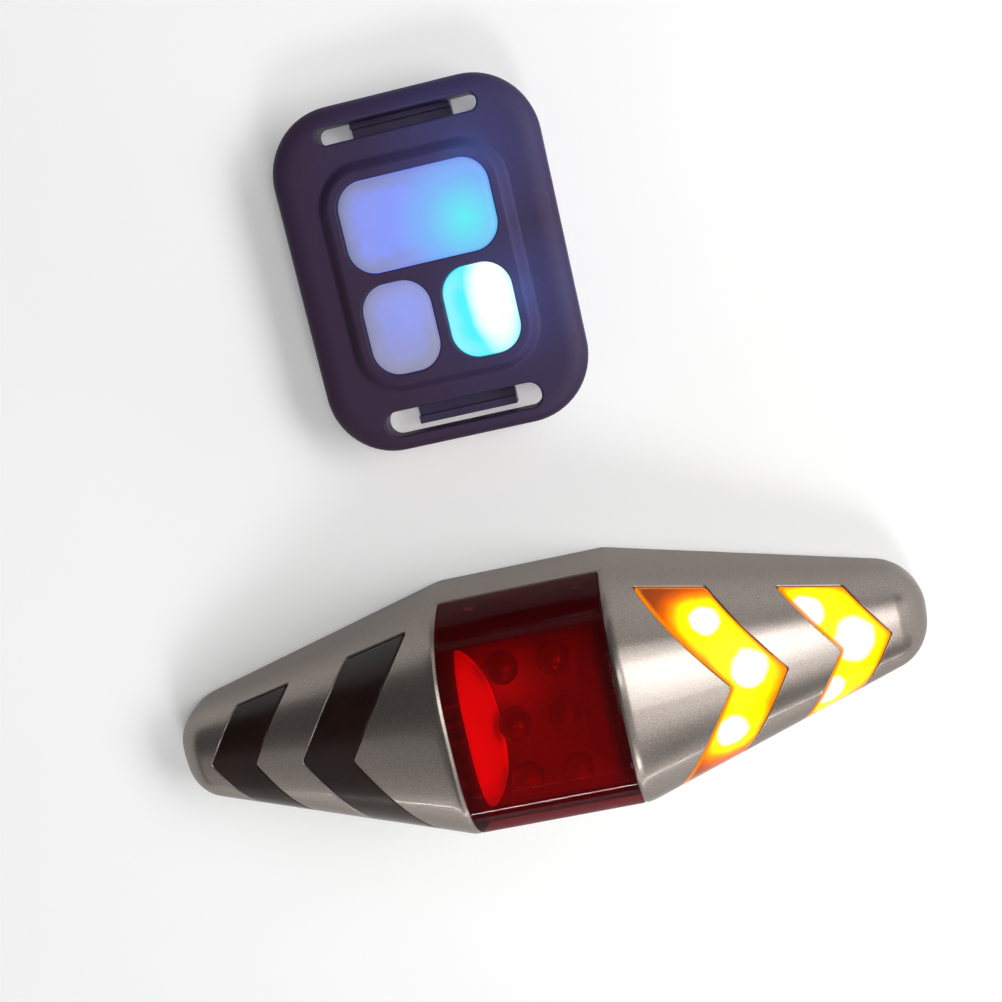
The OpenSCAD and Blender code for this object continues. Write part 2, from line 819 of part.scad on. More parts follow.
module power_switch() color("dimgray") {
    switch_side = 4.5;
    plunger_r = 1.2;
    plunger_length = 0.4;
    translate([aux_x, 0, aux_board_z - power_switch_height]) {
        cylinder(r = plunger_r, h = power_switch_height / 2);
        translate([0, 0, plunger_length])
            centred_box(switch_side, switch_side, power_switch_height - plunger_length);
    }
}

module power_button() color("dimgray") {
    cap_z = 0.4;
    translate([aux_x, 0, 0]) {
        translate([0, 0, cap_z]) cylinder(r = power_cap_r, h = power_flange_top - cap_z);
        translate([0, 0, back_plate + fit_gap])
            cylinder(r = power_cap_r + power_flange, h = power_flange_top - back_plate - fit_gap);
    }
}

// A post with a thin pin that passes through a board
module board_post(foot, seat, radius) {
    translate([0, 0, foot]) cylinder(r = radius, h = seat - foot);
    translate([0, 0, foot]) cylinder(r = pin_r, h = seat - foot + board_thickness + pin_proud);
}

module battery_tray() {
    translate([0, 0, back_plate - fit_gap])
        centred_box(2 * tray_end, 2 * tray_side, roof_top - back_plate + fit_gap);
    four_corners(main_post_x, main_post_y) board_post(roof_top - fit_gap, main_board_z, post_r);
}

module tail_places() {
    for (side = [-1, 1]) translate([0, side * cell_y, 0]) children();
}

module back_cover() color("dimgray") {
    tail_slot = 2.6;
    notch_r = 4;
    notch_depth = 0.8;
    tab_slot_foot = door_tab_z - door_tab_room;
    tab_slot_x = door_tab_length + run_gap + door_hinge_room;
    difference() {
        union() {
            plan_plate(rim_wall + fit_gap, back_plate);
            battery_tray();
            for (side = [-1, 1]) {
                translate([side * mount_spacing / 2, 0, 0]) cylinder(r = insert_boss_r, h = insert_boss_top);
                for (end = [-1, 1]) translate([side * aux_x, end * aux_post_y, 0])
                    board_post(back_plate - fit_gap, aux_board_z, post_r);
            }
        }
        translate([0, 0, -cut]) centred_box(2 * tray_half_x, 2 * tray_half_y, roof_z + cut);
        translate([door_hinge_x - run_gap, -tray_side - run_gap, -cut])
            cube([door_end_x - door_hinge_x + 2 * run_gap, 2 * (tray_side + run_gap), door_pocket_z + cut]);
        translate([-tray_end - tab_slot_x / 2, 0, tab_slot_foot])
            centred_box(tab_slot_x, 2 * (door_tab_half + run_gap), back_plate - tab_slot_foot + cut);
        translate([door_end_x + run_gap, 0, -cut]) cylinder(r = notch_r, h = notch_depth + cut);
        tail_places() translate([tray_half_x - contact_thickness / 2 - fit_gap, 0, roof_z - cut])
            centred_box(contact_thickness + 2 * fit_gap, tail_slot, roof_thickness + 2 * cut);
        for (side = [-1, 1]) translate([side * mount_spacing / 2, 0, -cut])
            cylinder(r = insert_r + insert_fit, h = insert_length + insert_fit + cut);
        translate([aux_x, 0, -cut]) cylinder(r = power_cap_r + run_gap, h = back_plate + 2 * cut);
        left_and_right() wing_board_space();
        light_screw_places() {
            translate([0, 0, -cut]) cylinder(r = screw_hole_r, h = back_plate + 2 * cut);
            screw_head_recess();
        }
    }
}

module housing_seal() color("black") {
    seal_width = 1.1;
    outer = rim_wall + fit_gap;
    translate([0, 0, back_plate]) difference() {
        plan_plate(outer, seal_thickness);
        translate([0, 0, -cut]) plan_plate(outer + seal_width, seal_thickness + 2 * cut);
    }
}

module housing_screws() color("gray") {
    light_screw_places() screw(screw_end);
}

module mount_inserts() color("goldenrod") {
    for (side = [-1, 1]) translate([side * mount_spacing / 2, 0, 0]) difference() {
        cylinder(r = insert_r, h = insert_length);
        translate([0, 0, -cut]) cylinder(r = insert_bore_r, h = insert_length + 2 * cut);
    }
}

// One cell along X, its button end at +X
module cell() {
    button_r = 1.9;
    button_length = 0.8;
    rotate([0, 90, 0]) {
        translate([0, 0, -cell_length / 2]) cylinder(r = cell_d / 2, h = cell_length - button_length);
        translate([0, 0, -cell_length / 2]) cylinder(r = button_r, h = cell_length);
    }
}

module aaa_cells() color("steelblue") {
    translate([0, cell_y, cell_z]) cell();
    translate([0, -cell_y, cell_z]) mirror([1, 0, 0]) cell();
}

// Strips of the contacts over the tray's roof, grown by the given room
module contact_tails(room) {
    tail_places() translate([contact_tail_end - room, -tail_width / 2 - room, roof_top])
        cube([contact_x + contact_thickness - contact_tail_end + 2 * room, tail_width + 2 * room,
            contact_thickness + room]);
}

// Contact plates at both ends, a cone on each to reach its cell, and two tails over the tray's roof
module battery_contacts() color("gold") {
    plate_side = 7;
    stud_r = 0.5;
    stud_inset = 1;
    cone_foot_r = 3;
    cone_tip_r = 2;
    cone_length = contact_room - contact_thickness - 1.5 * fit_gap;
    for (side = [-1, 1]) translate([0, side * cell_y, cell_z]) {
        translate([contact_x, -plate_side / 2, -plate_side / 2])
            cube([contact_thickness, plate_side, plate_side]);
        translate([contact_x, -tail_width / 2, 0])
            cube([contact_thickness, tail_width, roof_top - cell_z + contact_thickness]);
        translate([contact_tail_end + stud_inset, 0, roof_top - cell_z])
            cylinder(r = stud_r, h = main_board_z - roof_top - insert_fit);
        for (end = [-1, 1]) translate([end * contact_x, 0, 0]) rotate([0, -90 * end, 0])
            cylinder(r1 = cone_foot_r, r2 = cone_tip_r, h = cone_length);
    }
    translate([-contact_x - contact_thickness, -cell_y - plate_side / 2, cell_z - plate_side / 2])
        cube([contact_thickness, 2 * cell_y + plate_side, plate_side]);
    contact_tails(0);
}

module battery_door() color("dimgray") {
    grip_count = 5;
    grip_pitch = 1.6;
    grip_depth = 0.4;
    grip_margin = 3;
    difference() {
        translate([door_hinge_x, -tray_side, door_recess])
            cube([door_end_x - door_hinge_x, 2 * tray_side, door_thickness]);
        for (i = [0:grip_count - 1])
            translate([door_end_x - grip_margin - i * grip_pitch, 0, door_recess - cut])
                centred_box(grip_pitch / 2, tray_side, cut + grip_depth);
    }
    translate([door_hinge_x - door_tab_length, -door_tab_half, door_tab_z])
        cube([door_tab_length + cut, 2 * door_tab_half, door_tab_thickness]);
}

module door_seal() color("black") {
    translate([0, 0, door_recess + door_thickness]) difference() {
        centred_box(2 * tray_end, 2 * tray_side, door_seal_thickness);
        translate([0, 0, -cut]) centred_box(2 * tray_half_x, 2 * tray_half_y, door_seal_thickness + 2 * cut);
    }
}

module on_remote() {
    translate([remote_x, remote_y, 0]) children();
}

module remote_screw_places() {
    four_corners(remote_screw_x, remote_screw_y) children();
}

module strap_slot(width) {
    round_plate(slot_length, width, width / 2 - slot_end_flat, remote_depth);
}

// A soft-edged block from pairs of an inset and a height
module soft_block(width, height, radius, profile) {
    skin([for (step = profile) soft_ring(width, height, radius, step[0], step[1])]);
}

// Front shell: a soft-edged flange, a raised panel with key holes, and a slot at each end
module remote_front() color([0.12, 0.1, 0.18]) {
    shell_foot = remote_split + fit_gap;
    panel_x = keys_width + 2 * panel_margin;
    panel_y = keys_height + 2 * panel_margin;
    panel_corner = key_corner + panel_margin;
    key_room = 4;
    flange_profile = [
        [0.5, shell_foot], [0, shell_foot + 0.8], [0, flange_top - 2], [0.8, flange_top - 0.9],
        [2, flange_top - 0.3], [3.6, flange_top]
    ];
    panel_profile = [
        [0, flange_top - 0.5], [0.3, flange_top + 0.2], [1.4, remote_depth - 0.3], [2, remote_depth]
    ];
    on_remote() difference() {
        union() {
            difference() {
                union() {
                    soft_block(remote_width, remote_height, remote_corner, flange_profile);
                    soft_block(panel_x, panel_y, panel_corner, panel_profile);
                }
                translate([0, 0, shell_foot - cut])
                    round_plate(cavity_x, cavity_y, cavity_corner, flange_ceiling - shell_foot + cut);
                translate([0, 0, shell_foot])
                    round_plate(
                        keys_width + key_room, keys_height + key_room, key_corner,
                        panel_underside - shell_foot);
            }
            remote_screw_places() translate([0, 0, shell_foot])
                cylinder(r = remote_boss_r, h = flange_ceiling + fit_gap - shell_foot);
        }
        translate([0, 0, panel_underside - cut]) key_holes();
        translate([0, slot_middle, 0]) strap_slot(top_slot_width);
        translate([0, -slot_middle, 0]) strap_slot(foot_slot_width);
        remote_screw_places() cylinder(r = screw_r + fit_gap / 2, h = flange_ceiling - fit_gap);
    }
}

module key_holes() {
    translate([0, key_y, 0]) key_hole(keys_width);
    for (side = [-1, 1]) translate([side * small_key_x, -key_y, 0]) key_hole(small_key_width);
}

module key_hole(width) {
    grow = 2 * key_hole_gap;
    round_plate(width + grow, key_height + grow, key_corner + key_hole_gap, panel_thickness + 2 * cut);
}

// Hook under a slot: a tongue out of the pod's end wall with a raised lip
module strap_hook(reach) {
    foot = pod_height / 2 - remote_wall;
    translate([-hook_width / 2, foot, hook_z]) cube([hook_width, reach - foot, hook_thickness]);
    translate([-hook_width / 2, reach - hook_lip, hook_z])
        cube([hook_width, hook_lip, hook_thickness + hook_lip_height]);
}

// Groove sectors and entry notches for the coin door's lugs
module coin_door_grooves() {
    groove_foot = coin_door_r - 1;
    groove_width = lug_reach + run_gap + 1;
    groove_from = lug_z - coin_door_gap;
    groove_to = coin_door_top + coin_door_gap;
    for (i = [0:lug_count - 1]) rotate([0, 0, 90 + 360 * i / lug_count]) {
        rotate([0, 0, -lug_angle / 2 - lug_spare])
            rotate_extrude(angle = lug_angle + door_turn + 2 * lug_spare)
                translate([groove_foot, groove_from]) square([groove_width, groove_to - groove_from]);
        rotate([0, 0, door_turn - lug_angle / 2 - lug_spare])
            rotate_extrude(angle = lug_angle + 2 * lug_spare)
                translate([groove_foot, -cut]) square([groove_width, groove_to + cut]);
    }
}

module remote_back() color([0.1, 0.09, 0.15]) {
    ring_r = coin_d / 2 + coin_room;
    pod_profile = [[1.2, 0], [0.35, 0.5], [0, 1.2], [0, remote_split]];
    on_remote() difference() {
        union() {
            difference() {
                soft_block(pod_width, pod_height, pod_corner, pod_profile);
                translate([0, 0, pod_floor]) round_plate(cavity_x, cavity_y, cavity_corner, remote_split);
            }
            cylinder(r = ring_r + coin_ring_wall, h = coin_z + coin_thickness);
            remote_screw_places() cylinder(r = remote_boss_r, h = remote_split);
            for (turn = [0:90:270]) rotate([0, 0, turn]) translate([remote_post, 0, pod_floor - fit_gap])
                cylinder(r = post_r, h = remote_board_z - pod_floor + fit_gap);
            strap_hook(slot_middle + top_slot_width / 2 + top_hook_reach);
            mirror([0, 1, 0]) strap_hook(slot_middle + foot_slot_width / 2 - foot_hook_gap);
        }
        translate([0, 0, -cut]) cylinder(r = ring_r, h = remote_depth);
        translate([0, 0, -cut]) cylinder(r = coin_door_r + coin_door_gap, h = coin_ledge_z + cut);
        coin_door_grooves();
        remote_screw_places() {
            translate([0, 0, -cut]) cylinder(r = screw_hole_r, h = remote_split + 2 * cut);
            screw_head_recess();
        }
    }
}

// A translucent key: a cap with soft edges on a flange that stays behind the panel
module key_cap(width, height) {
    top = remote_depth + key_rise;
    cap_profile = [
        [0, key_flange_top - key_flange_thickness / 2], [0, top - 0.6], [0.25, top - 0.2], [0.9, top]
    ];
    translate([0, 0, key_flange_top - key_flange_thickness]) round_plate(
        width + 2 * key_flange, height + 2 * key_flange, key_corner + key_flange, key_flange_thickness);
    soft_block(width, height, key_corner, cap_profile);
}

module main_key() color("lightsteelblue") on_remote() translate([0, key_y, 0])
    key_cap(keys_width, key_height);

module left_key() color("lightsteelblue") on_remote() translate([-small_key_x, -key_y, 0])
    key_cap(small_key_width, key_height);

module right_key() color("cyan") on_remote() translate([small_key_x, -key_y, 0])
    key_cap(small_key_width, key_height);

module remote_board() color("darkgreen") {
    on_remote() translate([0, 0, remote_board_z]) difference() {
        round_plate(cavity_x - 4 * fit_gap, cavity_y - 4 * fit_gap, cavity_corner, remote_board_thickness);
        remote_screw_places() translate([0, 0, -cut])
            cylinder(r = remote_boss_r + run_gap, h = remote_board_thickness + 2 * cut);
    }
}

// Switch under each key, beside that key's lamp
module remote_switches() color("dimgray") {
    switch_side = 4;
    switch_shift = 2;
    on_remote() translate([0, 0, remote_board_top]) {
        for (x = [-small_key_x, small_key_x]) translate([x - switch_shift, -key_y, 0])
            centred_box(switch_side, switch_side, key_switch_height);
        translate([-small_key_x, key_y, 0]) centred_box(switch_side, switch_side, key_switch_height);
    }
}

module remote_leds() color("deepskyblue") {
    lamp_side = 2;
    lamp_height = 0.7;
    lamp_shift = 3;
    on_remote() translate([0, 0, remote_board_top]) {
        for (x = [-small_key_x, small_key_x]) translate([x + lamp_shift, -key_y, 0])
            centred_box(lamp_side, lamp_side, lamp_height);
        translate([small_key_x, key_y - lamp_side, 0]) centred_box(lamp_side, lamp_side, lamp_height);
    }
}

module remote_chip() color("black") {
    chip_side = 3.6;
    chip_height = 0.8;
    on_remote() translate([0, 0, remote_board_top]) centred_box(chip_side, chip_side, chip_height);
}

module coin_cell() color("silver") {
    rim_width = 1.2;
    rim_height = 0.3;
    on_remote() translate([0, 0, coin_z]) {
        cylinder(r = coin_d / 2 - rim_width, h = coin_thickness);
        translate([0, 0, rim_height]) cylinder(r = coin_d / 2, h = coin_thickness - rim_height);
    }
}

// Spring plate on the coin cell's face, with a stud up to the board
module coin_clip() color("gold") {
    plate_length = 14;
    plate_width = 4;
    plate_thickness = 0.25;
    stud_r = 1.5;
    cell_top = coin_z + coin_thickness;
    on_remote() translate([0, 0, cell_top + fit_gap / 2]) {
        centred_box(plate_length, plate_width, plate_thickness);
        cylinder(r = stud_r, h = remote_board_z - cell_top - fit_gap);
    }
}

module coin_door() color([0.12, 0.1, 0.18]) {
    pad_r = coin_d / 2 - 2;
    slot_width = 1.8;
    slot_depth = 0.7;
    slot_reach = 12;
    groove_half = seal_ring_r + fit_gap;
    on_remote() difference() {
        union() {
            translate([0, 0, coin_door_z]) cylinder(r = coin_door_r, h = coin_door_top - coin_door_z);
            translate([0, 0, coin_door_z]) cylinder(r = pad_r, h = coin_z - fit_gap - coin_door_z);
            for (i = [0:lug_count - 1]) rotate([0, 0, 90 + 360 * i / lug_count - lug_angle / 2])
                rotate_extrude(angle = lug_angle)
                    translate([coin_door_r - 1, lug_z]) square([1 + lug_reach, coin_door_top - lug_z]);
        }
        translate([0, 0, coin_door_z - cut]) centred_box(slot_reach, slot_width, slot_depth + cut);
        rotate_extrude() translate([seal_ring_place - groove_half, coin_door_top - seal_groove_depth])
            square([2 * groove_half, cut]);
    }
}

module coin_door_seal() color("black") {
    on_remote() rotate_extrude()
        translate([seal_ring_place, coin_door_top - seal_groove_depth + seal_ring_r]) circle(r = seal_ring_r);
}

module remote_screws() color("gray") {
    on_remote() remote_screw_places() screw(flange_ceiling - run_gap);
}

front_housing();
red_lens();
left_inner_chevron();
left_outer_chevron();
right_inner_chevron();
right_outer_chevron();
brake_reflector();
main_board();
main_board_chips();
red_leds();
left_signal_board();
right_signal_board();
left_signal_leds();
right_signal_leds();
signal_leads();
receiver_board();
receiver_antenna();
switch_board();
power_switch();
power_button();
back_cover();
housing_seal();
housing_screws();
mount_inserts();
aaa_cells();
battery_contacts();
battery_door();
door_seal();
remote_front();
remote_back();
main_key();
left_key();
right_key();
remote_board();
remote_switches();
remote_leds();
remote_chip();
coin_cell();
coin_clip();
coin_door();
coin_door_seal();
remote_screws();
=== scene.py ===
import json
import math
from functools import partial

import bpy
import numpy as np
from mathutils import Matrix, Vector
from mathutils.geometry import delaunay_2d_cdt

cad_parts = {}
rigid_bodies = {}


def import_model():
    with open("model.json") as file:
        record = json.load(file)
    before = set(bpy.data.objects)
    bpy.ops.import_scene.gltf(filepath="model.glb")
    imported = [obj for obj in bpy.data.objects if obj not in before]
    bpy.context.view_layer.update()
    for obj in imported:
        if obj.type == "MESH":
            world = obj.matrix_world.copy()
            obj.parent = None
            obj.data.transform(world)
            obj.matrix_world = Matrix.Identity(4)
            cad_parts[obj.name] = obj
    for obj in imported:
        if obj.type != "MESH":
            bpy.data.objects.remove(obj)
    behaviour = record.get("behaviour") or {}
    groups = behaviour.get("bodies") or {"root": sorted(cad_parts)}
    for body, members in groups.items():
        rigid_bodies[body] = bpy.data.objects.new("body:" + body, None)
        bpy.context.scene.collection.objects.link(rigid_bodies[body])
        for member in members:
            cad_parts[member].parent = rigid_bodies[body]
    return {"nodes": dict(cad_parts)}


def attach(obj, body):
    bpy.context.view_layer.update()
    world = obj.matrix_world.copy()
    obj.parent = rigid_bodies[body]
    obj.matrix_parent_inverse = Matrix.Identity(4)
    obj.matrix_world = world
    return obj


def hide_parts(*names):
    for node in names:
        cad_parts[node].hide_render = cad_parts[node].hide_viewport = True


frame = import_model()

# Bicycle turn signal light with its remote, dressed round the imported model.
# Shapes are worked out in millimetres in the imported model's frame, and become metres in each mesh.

for spare in [o for o in bpy.data.objects if o.name in {"Cube", "Light", "Camera"}]:
    bpy.data.objects.remove(spare)
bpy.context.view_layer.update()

MM = 0.001
QUARTER = math.pi / 2
UP = Vector((0, 0, 1))
DOWN = Vector((0, 0, -1))

# Body of the light
HALF_HEIGHT = 19.5
DEPTH = 31.0
SECTION_POWER = 2.9
TAPER_START = 14.0
CREASE_BLEND = 0.25
NOSE_CENTRE = 54.8
NOSE_RADIUS = 8.7
NOSE_END_ANGLE = math.radians(88)
TAPER_RUN = NOSE_CENTRE - TAPER_START
TAPER_REACH = math.hypot(HALF_HEIGHT, TAPER_RUN)
TAPER_ANGLE = math.acos(NOSE_RADIUS / TAPER_REACH) - math.atan2(TAPER_RUN, HALF_HEIGHT)
TAPER = math.tan(TAPER_ANGLE)
NOSE_START = NOSE_CENTRE + NOSE_RADIUS * math.sin(TAPER_ANGLE)
OUTLINE_END = NOSE_START + NOSE_RADIUS * (NOSE_END_ANGLE - TAPER_ANGLE)
HOUSING_WALL = 1.8
RIM_WALL = 1.0
LEDGE_Z = 3.2
LENS_INSET = 2.82

# Windows and lenses
LENS_HALF = 13.0
LENS_START = 13.2
WINDOW_GAP = 0.06
EDGE_ROLL = 0.2
LENS_WINDOW_BEVEL = 0.5
BEVEL_TILT = math.radians(25)
# Shares of the bevel's width and drop at its two bends, and of its drop at the lip
BEVEL_BENDS = ((0.92, 0.08), (0.1, 0.9))
BEVEL_LIP = 1.1
OUTER_POINT = 55.7
INNER_POINT = 38.6
OUTER_WIDTH = 8.4
INNER_WIDTH = 9.0
CHEVRON_SWEEP = 0.69
CHEVRON_MARGIN = 1.7
CHEVRON_CORNER = 0.5

# Reflector behind the red lens
TUB_REACH = 13.0
TUB_FLOOR = 20.74
TUB_BASE = 19.84
TUB_FLOOR_HALF = 6.7
TUB_TOP_HALF = 10.8
TUB_HALF = 11.2
TUB_INSET = 3.42
TUB_ROLL = 0.5
TUB_ROLL_RISE = 0.2

# Remote
REMOTE_X = -2.1
REMOTE_Y = 70.5
REMOTE_WIDTH = 42.0
REMOTE_HEIGHT = 54.0
REMOTE_CORNER = 10.5
SHELL_FOOT = 5.6
SHELL_FOOT_ROLL = 0.5
FLANGE_TOP = 10.2
FLANGE_CEILING = 8.4
FLANGE_ROLL = 3.6
FLANGE_DROP = 2.0
FRONT_INSET = 1.6
PANEL_WIDTH = 30.0
PANEL_HEIGHT = 36.4
PANEL_CORNER = 7.4
PANEL_RISE = 1.4
PANEL_SLOPE = 2.0
PANEL_UNDERSIDE = 10.0
CAVITY_WIDTH = 33.8
CAVITY_HEIGHT = 34.4
CAVITY_CORNER = 3.0
SLOT_LENGTH = 25.0
SLOT_ROW = 22.6
TOP_SLOT_WIDTH = 2.6
FOOT_SLOT_WIDTH = 4.0
SLOT_END_FLAT = 0.05
SLOT_ROLL = 0.4

# Keys of the remote
KEY_ROOM_WIDTH = 27.2
KEY_ROOM_HEIGHT = 33.6
KEY_CORNER = 4.0
KEY_HEIGHT = 13.65
KEY_ROW = 7.975
MAIN_KEY_WIDTH = 23.2
SMALL_KEY_WIDTH = 10.45
SMALL_KEY_X = 6.375
KEY_HOLE_GAP = 0.25
KEY_HOLE_ROLL = 0.3
KEY_TOP = 12.1
KEY_ROLL = 0.9
KEY_CROWN = 0.12
CROWN_LEAN = 0.06
KEY_FLANGE_FOOT = 8.8
KEY_FLANGE_TOP = 9.9
KEY_FLANGE = 0.8
# Width and centre of each key
KEY_SHAPES = {
    "main_key": (MAIN_KEY_WIDTH, (0.0, KEY_ROW)),
    "left_key": (SMALL_KEY_WIDTH, (-SMALL_KEY_X, -KEY_ROW)),
    "right_key": (SMALL_KEY_WIDTH, (SMALL_KEY_X, -KEY_ROW)),
}

# Spacing of the points on each sheet
HOUSING_SPACING = 0.9
INSIDE_SPACING = 1.5
RED_LENS_SPACING = 1.0
CHEVRON_SPACING = 0.8
TUB_SPACING = 3.0
REMOTE_SPACING = 0.7
UNDERSIDE_SPACING = 2.0
KEY_SPACING = 0.9
KEY_FOOT_SPACING = 2.5

# Counts of points and steps on edges and curves
BODY_STEPS = 150
NOSE_STEPS = 40
LENS_STEPS = 40
LENS_ROUND_STEPS = 56
ARM_STEPS = 26
ARM_END_STEPS = 12
WINDOW_ROLL_STEPS = 5
TUB_STEPS = 48
REMOTE_ARC_STEPS = 16
REMOTE_SIDE_STEPS = 30
FLANGE_ROLL_STEPS = 8
PANEL_SLOPE_LINES = 7
OPENING_ROLL_STEPS = 4
SLOT_SIDE_STEPS = 24
KEY_ROLL_STEPS = 6

# Fineness of the working
WELD_STEPS = 2000
TINY = 1e-9
CUT_TOLERANCE = 1e-7
CUT_WHOLE = 0
EDGE_ROOM = 0.6
LIMIT_STEP = 0.02
LEAN_STEP = 0.02
# Millimetres for each radian round the section, where the body's surface is laid flat
TURN_SCALE = 20.0


# Body surface

def station(along, inset=0.0):
    """Place, half height and its slope, at a distance along the body's outline from the middle."""
    reach = abs(along)
    if reach <= NOSE_START:
        past = reach - TAPER_START + inset * math.tan(TAPER_ANGLE / 2)
        root = math.hypot(past, CREASE_BLEND)
        shift = max(0.0, reach - TAPER_START) / (NOSE_START - TAPER_START)
        x = reach - inset * math.sin(TAPER_ANGLE) * shift
        half = HALF_HEIGHT - inset - TAPER * (past + root) / 2
        slope = -TAPER * (1 + past / root) / 2
    else:
        turn = TAPER_ANGLE + (reach - NOSE_START) / NOSE_RADIUS
        x = NOSE_CENTRE + (NOSE_RADIUS - inset) * math.sin(turn)
        half = (NOSE_RADIUS - inset) * math.cos(turn)
        slope = -math.tan(turn)
    return math.copysign(x, along), half, math.copysign(slope, -along)


def section(turn):
    """Shares of the half height and depth at an angle round the section."""
    c, s = math.cos(turn), math.sin(turn)
    reach = (abs(c) ** SECTION_POWER + abs(s) ** SECTION_POWER) ** (-1 / SECTION_POWER)
    return reach * c, reach * s


def other_share(share):
    """Share of the section's depth at a share of its half height, or the other way round."""
    return max(0.0, 1 - abs(share) ** SECTION_POWER) ** (1 / SECTION_POWER)


def depth_ratio(inset):
    """Depth for each millimetre of half height."""
    return (DEPTH - inset) / (HALF_HEIGHT - inset)


def body_point(along, turn, inset=0.0):
    """Point of the body's surface, or of a surface inside it by an inset."""
    x, half, _ = station(along, inset)
    across, up = section(turn)
    return Vector((x, half * across, depth_ratio(inset) * half * up))


def body_normal(along, turn):
    slope = station(along)[2]
    across, up = section(turn)
    power = SECTION_POWER - 1
    side = math.copysign(abs(across) ** power, across)
    return Vector((-slope, side, abs(up) ** power * HALF_HEIGHT / DEPTH)).normalized()


def turn_at_height(along, z, inset=0.0):
    """Angle round the section at which the body's surface has a height."""
    up = min(1.0, z / (depth_ratio(inset) * station(along, inset)[1]))
    return math.atan2(up, other_share(up))


def sheet_place(x, y):
    """Outline distance and angle of a point seen from the front."""
    across = y / station(x)[1]
    return x, math.atan2(other_share(across), across)


def section_height(y, inset):
    return (DEPTH - inset) * other_share(y / (HALF_HEIGHT - inset))


# Mesh making

class Shell:
    """Collects faces whose corners carry their own normals, and welds points that coincide."""

    def __init__(self):
        self.points = []
        self.index = {}
        self.faces = []
        self.normals = []
        self.marks = []
        self.mark = 0

    def corner(self, point, normal):
        """Index of a point, added if it is new, and the normal there."""
        key = tuple(round(c * WELD_STEPS) for c in point)
        if key not in self.index:
            self.index[key] = len(self.points)
            self.points.append(Vector(point))
        return self.index[key], Vector(normal)

    def face(self, corners):
        """Adds a face, turned the way its normals point, unless its corners coincide."""
        kept = []
        for corner in corners:
            if all(corner[0] != other[0] for other in kept):
                kept.append(corner)
        if len(kept) < 3:
            return
        a, b, c = (self.points[corner[0]] for corner in kept[:3])
        if (b - a).cross(c - a).dot(sum((corner[1] for corner in kept), Vector())) < 0:
            kept.reverse()
        self.faces.append([corner[0] for corner in kept])
        self.normals.extend(corner[1] for corner in kept)
        self.marks.append(self.mark)

    def band(self, first, second):
        """Quads between two closed rows of (point, normal) pairs."""
        count = len(first)
        for i in range(count):
            j = (i + 1) % count
            row = (first[i], first[j], second[j], second[i])
            self.face([self.corner(*pair) for pair in row])

    def bands(self, rings):
        for first, second in zip(rings, rings[1:]):
            self.band(first, second)

    def flat_quad(self, a, b, c, d):
        """Quad with one flat normal."""
        normal = (b - a).cross(d - a).normalized()
        self.face([self.corner(p, normal) for p in (a, b, c, d)])

    def sheet(self, to_pair, spacing, outline, holes=(), lines=()):
        """Triangles over an outline with holes; a function turns places into points and normals."""
        places, triangles = cut_sheet(outline, holes, spacing, lines)
        pairs = [to_pair(*place) for place in places]
        for triangle in triangles:
            self.face([self.corner(*pairs[i]) for i in triangle])

    def build(self, name, body, materials, slot, *nodes, edge=None):
        """Makes the piece; each point may keep its distance from an edge in millimetres."""
        mesh = bpy.data.meshes.new(name)
        mesh.from_pydata([p * MM for p in self.points], [], self.faces)
        mesh.polygons.foreach_set("use_smooth", [True] * len(mesh.polygons))
        mesh.polygons.foreach_set("material_index", self.marks)
        mesh.normals_split_custom_set([n.normalized() for n in self.normals])
        for material in materials:
            mesh.materials.append(material)
        if edge:
            rim = mesh.attributes.new("rim", "FLOAT", "POINT")
            rim.data.foreach_set("value", loop_distance(np.array(self.points), edge))
        mesh.update()
        piece = bpy.data.objects.new(name, mesh)
        bpy.context.scene.collection.objects.link(piece)
        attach(piece, body)
        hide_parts(*nodes)


def inside(points, loop):
    """True for each point that lies inside a closed loop."""
    x, y = points[:, :1], points[:, 1:]
    a = np.array(loop)
    b = np.roll(a, -1, axis=0)
    crosses = (a[:, 1] > y) != (b[:, 1] > y)
    rise = np.where(b[:, 1] == a[:, 1], TINY, b[:, 1] - a[:, 1])
    cut = (b[:, 0] - a[:, 0]) * (y - a[:, 1]) / rise + a[:, 0]
    return np.sum(crosses & (x < cut), axis=1) % 2 == 1


def loop_distance(points, loop):
    """Distance from each point to a closed loop."""
    a = np.array(loop)
    along = np.roll(a, -1, axis=0) - a
    offset = points[:, None, :] - a[None]
    squares = np.maximum(np.sum(along * along, axis=1), TINY)
    share = np.clip(np.sum(offset * along, axis=2) / squares, 0, 1)
    return np.min(np.linalg.norm(offset - share[..., None] * along, axis=2), axis=1)


def cut_sheet(outline, holes, spacing, lines=()):
    """Triangles over an outline with holes and inner lines, as places and indices."""
    loops = [outline, *holes, *lines]
    places, edges = [], []
    for loop in loops:
        start, count = len(places), len(loop)
        places.extend(loop)
        edges.extend((start + i, start + (i + 1) % count) for i in range(count))
    low, high = np.min(outline, axis=0), np.max(outline, axis=0)
    columns, rows = (np.arange(low[i], high[i], spacing) for i in (0, 1))
    grid = np.stack(np.meshgrid(columns, rows), axis=-1).reshape(-1, 2)
    grid = grid[inside(grid, outline)]
    for hole in holes:
        grid = grid[~inside(grid, hole)]
    for loop in loops:
        grid = grid[loop_distance(grid, loop) > EDGE_ROOM * spacing]
    places.extend(map(tuple, grid.tolist()))
    points, _, faces, sources, _, _ = delaunay_2d_cdt(
        [Vector(p) for p in places], edges, [], CUT_WHOLE, CUT_TOLERANCE)
    spots = [places[ids[0]] if ids else tuple(p) for p, ids in zip(points, sources)]
    triangles = np.array(faces)
    middles = np.array(spots)[triangles].mean(axis=1)
    keep = inside(middles, outline)
    for hole in holes:
        keep &= ~inside(middles, hole)
    return spots, triangles[keep].tolist()


def subdivide(start, end, count):
    """Even steps from a start to an end, without the end."""
    return [tuple(s + (e - s) * i / count for s, e in zip(start, end)) for i in range(count)]


